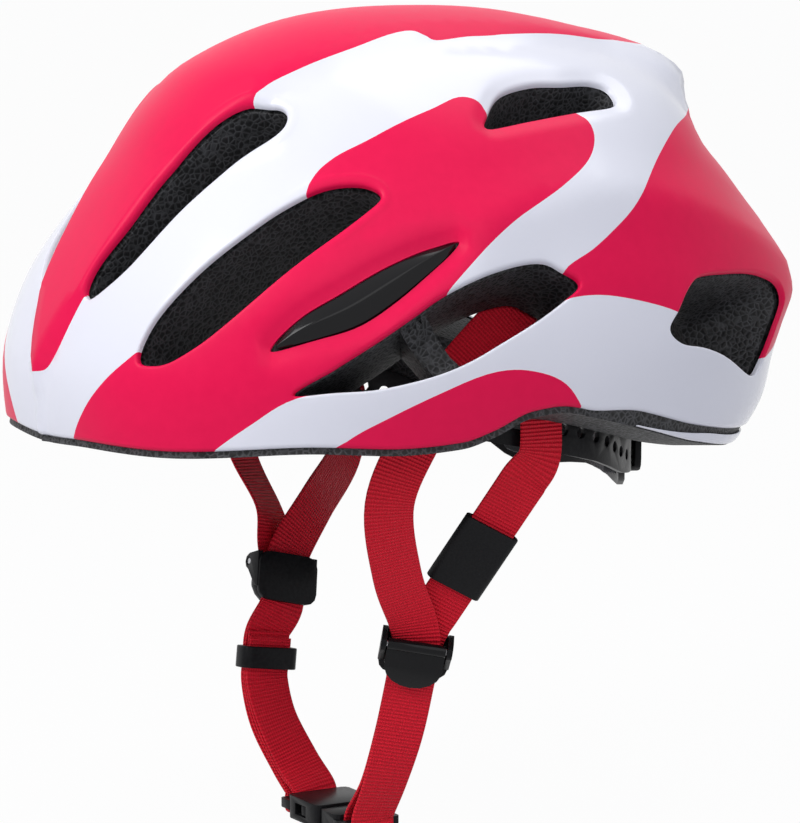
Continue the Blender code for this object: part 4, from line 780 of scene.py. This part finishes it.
def dress_inserts(mat):
    """Leaf-shaped gloss inlay: flat facets either side of a soft lengthwise ridge."""
    for side, sign in (("left", 1), ("right", -1)):
        half = len(INSERT) // 2
        count = 41
        edges = []
        for part in (INSERT[:half + 1], (INSERT[half:] + INSERT[:1])[::-1]):
            line = spline(part, 12)
            run = np.concatenate([[0], np.cumsum(np.linalg.norm(np.diff(line, axis=0), axis=1))])
            at = (0.5 - 0.5 * np.cos(np.linspace(0, math.pi, count))) * run[-1]
            edges.append(np.stack([np.interp(at, run, line[:, i]) for i in range(2)], 1))
        upper, lower = edges
        width = np.linalg.norm(lower - upper, axis=1)
        keep = width > 1.4
        upper, lower, width = upper[keep], lower[keep], width[keep]
        ridge = INSERT_RIDGE * np.sqrt(width / width.max())
        rings = []
        across = np.array([0.02, 0.06, 0.2, 0.4, 0.47, 0.5, 0.53, 0.6, 0.8, 0.94, 0.98])
        rise = np.array([-0.6, 0.02, 0.36, 0.8, 0.93, 0.96, 0.93, 0.8, 0.36, 0.02, -0.6])
        span = lower - upper
        grid = [shell_surface((upper + span * t) * (sign, 1), -ridge * h) for t, h in zip(across, rise)]
        floor = [shell_surface((upper + span * t) * (sign, 1), 1.0 + 0 * ridge) for t in (0.98, 0.5, 0.02)]
        for i in range(len(width)):
            rings.append(np.array([g[i] for g in grid + floor]))
        show(loft(side + "_inlay", rings), "helmet", mat, side + "_insert", angle=30)


def dress_pads(mat):
    def pad(name, outline, cad, thickness, edge, channel=None):
        outline = refine(outline, 3.0)
        rings = [closed(offset_loop(outline, -edge * s)) for s in (0.12, 0.35, 0.7)]
        pts, tris = triangulate([outline], 4.0, rings)
        keep = inside(pts[tris].mean(axis=1), outline)
        d = np.clip(line_distance(pts, outline, True) / edge, 0, 1)
        tall = 0.5 + (thickness - 0.5) * np.sqrt(1 - (1 - d) ** 2)
        if channel is not None:
            along, pitch = channel
            away = np.abs(pts @ along % pitch - pitch / 2)
            tall = tall - CHANNEL_DEPTH * np.clip(1 - away / CHANNEL_HALF_WIDTH, 0, 1) * d
        obj, _ = layers(name, tris[keep], [head_surface(pts, FIT_GAP), head_surface(pts, FIT_GAP + tall)])
        show(obj, "helmet", mat, cad)

    turn = np.radians(np.linspace(-BROW_PAD_ANGLE, BROW_PAD_ANGLE, 41))
    arc = np.stack([np.sin(turn), -np.cos(turn)], 1)
    band = np.vstack([BROW_PAD_BAND[1] * arc, BROW_PAD_BAND[0] * arc[::-1]])
    pad("brow_cushion", band, "brow_pad", PAD_THICKNESS, PAD_EDGE, BROW_CHANNELS)
    front, back = CROWN_PAD_ENDS
    strip = rounded(2 * CROWN_PAD_HALF_WIDTH, back - front, 9.0, (0, (front + back) / 2), 6)
    pad("crown_cushion", strip, "crown_pad", PAD_THICKNESS, PAD_EDGE, CROWN_CHANNELS)
    for side, sign in (("left", 1), ("right", -1)):
        loop = rounded(*SIDE_PAD_SIZE, 8.0, SIDE_PAD_CENTRE, 6)
        loop = loop if sign > 0 else mirror(loop)
        pad(side + "_side_cushion", loop, side + "_side_pad", PAD_THICKNESS, PAD_EDGE)


def strap_piece(name, stations, cad, mat, blend=None):
    """Flat webbing with rounded selvedges; UVs run in metres across and along it."""
    centre, wide, face = ribbon_frames(stations, 8)
    w, t = WEBBING_WIDTH / 2, WEBBING_THICKNESS / 2
    across = np.array([1.0, 0.985, 0.94, 0.88, 0.5, 0.0, -0.5, -0.88, -0.94, -0.985, -1.0])
    thick = np.array([0.0, 0.72, 1.0, 0.92, 0.96, 1.0, 0.96, 0.92, 1.0, 0.72, 0.0])
    section = list(zip(across, thick)) + list(zip(across[-2:0:-1], -thick[-2:0:-1]))
    rings = [np.array([p + w * x * a + t * y * b for x, y in section]) for p, a, b in zip(centre, wide, face)]
    obj = loft(name, rings)
    run = np.concatenate([[0], np.cumsum(np.linalg.norm(np.diff(centre, axis=0), axis=1))]) * 0.001
    uv = obj.data.uv_layers.new(name="tape").data
    n = len(section)
    for loop in obj.data.loops:
        ring, k = divmod(loop.vertex_index, n)
        uv[loop.index].uv = (section[k][0] * w * 0.001, run[ring])
    return show(obj, "helmet", mat, cad, angle=60, blend=blend)


def dress(cad, body, mat, width=0.4, segments=2, name=None):
    """Moulded piece: the CAD form with its edges rounded."""
    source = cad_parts[cad]
    obj = bpy.data.objects.new(name or cad + "_moulded", source.data.copy())
    bpy.context.scene.collection.objects.link(obj)
    obj.data.materials.clear()
    form = bmesh.new()
    form.from_mesh(obj.data)
    bmesh.ops.remove_doubles(form, verts=form.verts, dist=1e-6)
    bmesh.ops.dissolve_limit(form, angle_limit=math.radians(1), verts=form.verts, edges=form.edges)
    form.to_mesh(obj.data)
    form.free()
    if width:
        bevel = obj.modifiers.new("edges", "BEVEL")
        bevel.width = width * 0.001
        bevel.segments = segments
        bevel.limit_method = "ANGLE"
        bevel.angle_limit = math.radians(40)
        bevel.use_clamp_overlap = True
        made = bpy.data.meshes.new_from_object(obj.evaluated_get(bpy.context.evaluated_depsgraph_get()))
        obj.modifiers.clear()
        obj.data = made
    return show(obj, body, mat, cad)


def seen(tree):
    """One for rays from the camera, mirrors and glass, which then see the white background."""
    rays = node(tree, "LightPath")
    first = node(tree, "Math", operation="MAXIMUM")
    second = node(tree, "Math", operation="MAXIMUM")
    link(tree, rays, "Is Camera Ray", first, 0)
    link(tree, rays, "Is Glossy Ray", first, 1)
    link(tree, first, 0, second, 0)
    link(tree, rays, "Is Transmission Ray", second, 1)
    return second.outputs[0]


def studio():
    scene = bpy.context.scene
    scene.view_settings.view_transform = "Standard"
    world = bpy.data.worlds.new("studio")
    scene.world = world
    world.use_nodes = True
    tree = world.node_tree
    light = tree.nodes["Background"]
    light.inputs["Color"].default_value = (*WORLD_COLOUR, 1)
    light.inputs["Strength"].default_value = WORLD_LIGHT
    white = node(tree, "Background", Color=(1, 1, 1, 1), Strength=1.0)
    mix = node(tree, "MixShader")
    tree.links.new(seen(tree), mix.inputs["Fac"])
    tree.links.new(light.outputs[0], mix.inputs[1])
    tree.links.new(white.outputs[0], mix.inputs[2])
    tree.links.new(mix.outputs[0], tree.nodes["World Output"].inputs["Surface"])

    bpy.ops.mesh.primitive_plane_add(size=60, location=(0, 0, CAD_BOX[0][2] - 0.002))
    floor = bpy.context.object
    floor.name = "floor"
    mat = bpy.data.materials.new("floor")
    mat.use_nodes = True
    tree = mat.node_tree
    shader = tree.nodes["Principled BSDF"]
    shader.inputs["Base Color"].default_value = (0.62, 0.62, 0.64, 1)
    shader.inputs["Roughness"].default_value = 0.9
    glow = node(tree, "Emission", Color=(1, 1, 1, 1), Strength=1.0)
    part = node(tree, "Math", operation="MULTIPLY")
    part.inputs[1].default_value = FLOOR_GLOW
    mix = node(tree, "MixShader")
    tree.links.new(seen(tree), part.inputs[0])
    link(tree, part, 0, mix, "Fac")
    tree.links.new(shader.outputs[0], mix.inputs[1])
    tree.links.new(glow.outputs[0], mix.inputs[2])
    tree.links.new(mix.outputs[0], tree.nodes["Material Output"].inputs["Surface"])
    floor.data.materials.append(mat)

    for name, azimuth, elevation, size, power in LAMPS:
        data = bpy.data.lights.new(name, "AREA")
        data.size = size
        data.energy = power
        lamp = bpy.data.objects.new(name, data)
        scene.collection.objects.link(lamp)
        aim(lamp, azimuth, elevation, LAMP_DISTANCE)

    data = bpy.data.cameras.new("photo")
    camera = bpy.data.objects.new("photo", data)
    scene.collection.objects.link(camera)
    aim(camera, VIEW_AZIMUTH, VIEW_ELEVATION, VIEW_DISTANCE)
    longest = max(PHOTO_SIZE)
    data.sensor_width = 36.0
    data.lens = FOCAL_PIXELS / longest * data.sensor_width
    data.shift_x = (PHOTO_SIZE[0] / 2 - ORIGIN_PIXEL[0]) / longest
    data.shift_y = (ORIGIN_PIXEL[1] - PHOTO_SIZE[1] / 2) / longest
    scene.camera = camera


def aim(obj, azimuth, elevation, distance):
    """Put an object at a viewing angle, looking at the origin."""
    a, e = math.radians(azimuth), math.radians(elevation)
    away = Vector((math.sin(a) * math.cos(e), -math.cos(a) * math.cos(e), math.sin(e)))
    obj.location = away * distance
    obj.rotation_euler = (-away).to_track_quat("-Z", "Y").to_euler()


def main():
    studio()
    red = grain(material("satin_red", (0.78, 0.005, 0.072), 0.40, specular=0.14), 260.0, 0.02, 0.0002,
                ((0.76, 0.004, 0.069), (0.80, 0.006, 0.075)), 0.3, (0.36, 0.44))
    white = grain(material("gloss_white", (0.77, 0.77, 0.84), 0.16, specular=0.35), 200.0, 0.012, 0.0002,
                  rough=(0.13, 0.19))
    gloss = grain(material("gloss_black", (0.004, 0.004, 0.005), 0.12, specular=0.22), 300.0, 0.01, 0.0001,
                  rough=(0.10, 0.15))
    black = grain(material("moulded_black", (0.009, 0.009, 0.010), 0.34, specular=0.09), 900.0, 0.12, 0.0003,
                  ((0.006, 0.006, 0.007), (0.012, 0.012, 0.013)), 0.2, (0.28, 0.42))
    lever = grain(material("polished_black", (0.006, 0.006, 0.007), 0.12, specular=0.15), 700.0, 0.03, 0.0002,
                  rough=(0.12, 0.2))
    rubber = grain(material("sleeve_black", (0.007, 0.007, 0.008), 0.5, specular=0.14), 1500.0, 0.2, 0.0002,
                   ((0.005, 0.005, 0.006), (0.010, 0.010, 0.011)), 0.2, (0.45, 0.58))
    fabric = grain(material("pad_fabric", (0.016, 0.016, 0.017), 0.92, sheen=0.3), 2200.0, 0.5, 0.0004,
                   ((0.010, 0.010, 0.011), (0.026, 0.026, 0.028)), 0.15)
    steel = grain(material("pin_steel", (0.5, 0.5, 0.52), 0.3, metal=1.0), 800.0, 0.05, 0.0001,
                  rough=(0.25, 0.38))
    foam_mat = bead_foam()
    dress_dome((red, white), foam_mat, white)
    dress_inserts(gloss)
    dress_pads(fabric)
    tape = webbing()
    left, right_front, right_rear = strap_routes()
    point, facing = left[ARM_CROSSING]
    left[ARM_CROSSING] = (np.array(point) + ARM_CLEARANCE, facing)
    strap_piece("left_webbing", left, "left_strap", tape, ("male", *CHIN_BEND))
    strap_piece("right_front_webbing", right_front, "right_front_strap", tape)
    strap_piece("right_rear_webbing", right_rear, "right_rear_strap", tape)
    fittings = (
        ("left_divider_base", "helmet", black, 0.5),
        ("right_divider_base", "helmet", black, 0.5),
        ("left_divider_lever", "left_lever", lever, 0.5),
        ("right_divider_lever", "right_lever", lever, 0.5),
        ("left_divider_pin", "helmet", steel, 0.2),
        ("right_divider_pin", "helmet", steel, 0.2),
        ("keeper_ring", "keeper", black, 0.35),
        ("strap_sleeve", "sleeve", rubber, 0.45),
        ("buckle_female", "helmet", black, 0.5),
        ("buckle_male", "male", black, 0.5),
        ("latch_arm_front", "prong_front", black, 0.4),
        ("latch_arm_rear", "prong_rear", black, 0.4),
        ("left_arm", "cradle", black, 0.3),
        ("right_arm", "cradle", black, 0.3),
        ("cradle_frame", "cradle", black, 0.3),
        ("dial_cover", "cradle", black, 0.4),
        ("dial", "dial", black, 0.3),
        ("left_rack", "left_rack", black, 0.15),
        ("right_rack", "right_rack", black, 0.15),
        ("left_temple_pin", "helmet", black, 0.3),
        ("right_temple_pin", "helmet", black, 0.3),
        ("left_strap_anchor", "helmet", black, 0.4),
        ("right_strap_anchor", "helmet", black, 0.4),
    )
    for cad, body, mat, width in fittings:
        dress(cad, body, mat, width)
    for cad in ("left_nape_pad", "right_nape_pad"):
        pad = dress(cad, "cradle", fabric, 1.6, 4)


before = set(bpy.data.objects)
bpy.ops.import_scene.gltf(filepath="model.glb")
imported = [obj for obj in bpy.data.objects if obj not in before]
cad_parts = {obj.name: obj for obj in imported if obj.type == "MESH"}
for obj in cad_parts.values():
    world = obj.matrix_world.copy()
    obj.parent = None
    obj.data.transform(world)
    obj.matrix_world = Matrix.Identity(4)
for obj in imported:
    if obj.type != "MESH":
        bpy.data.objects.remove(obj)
CAD_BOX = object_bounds()
main()
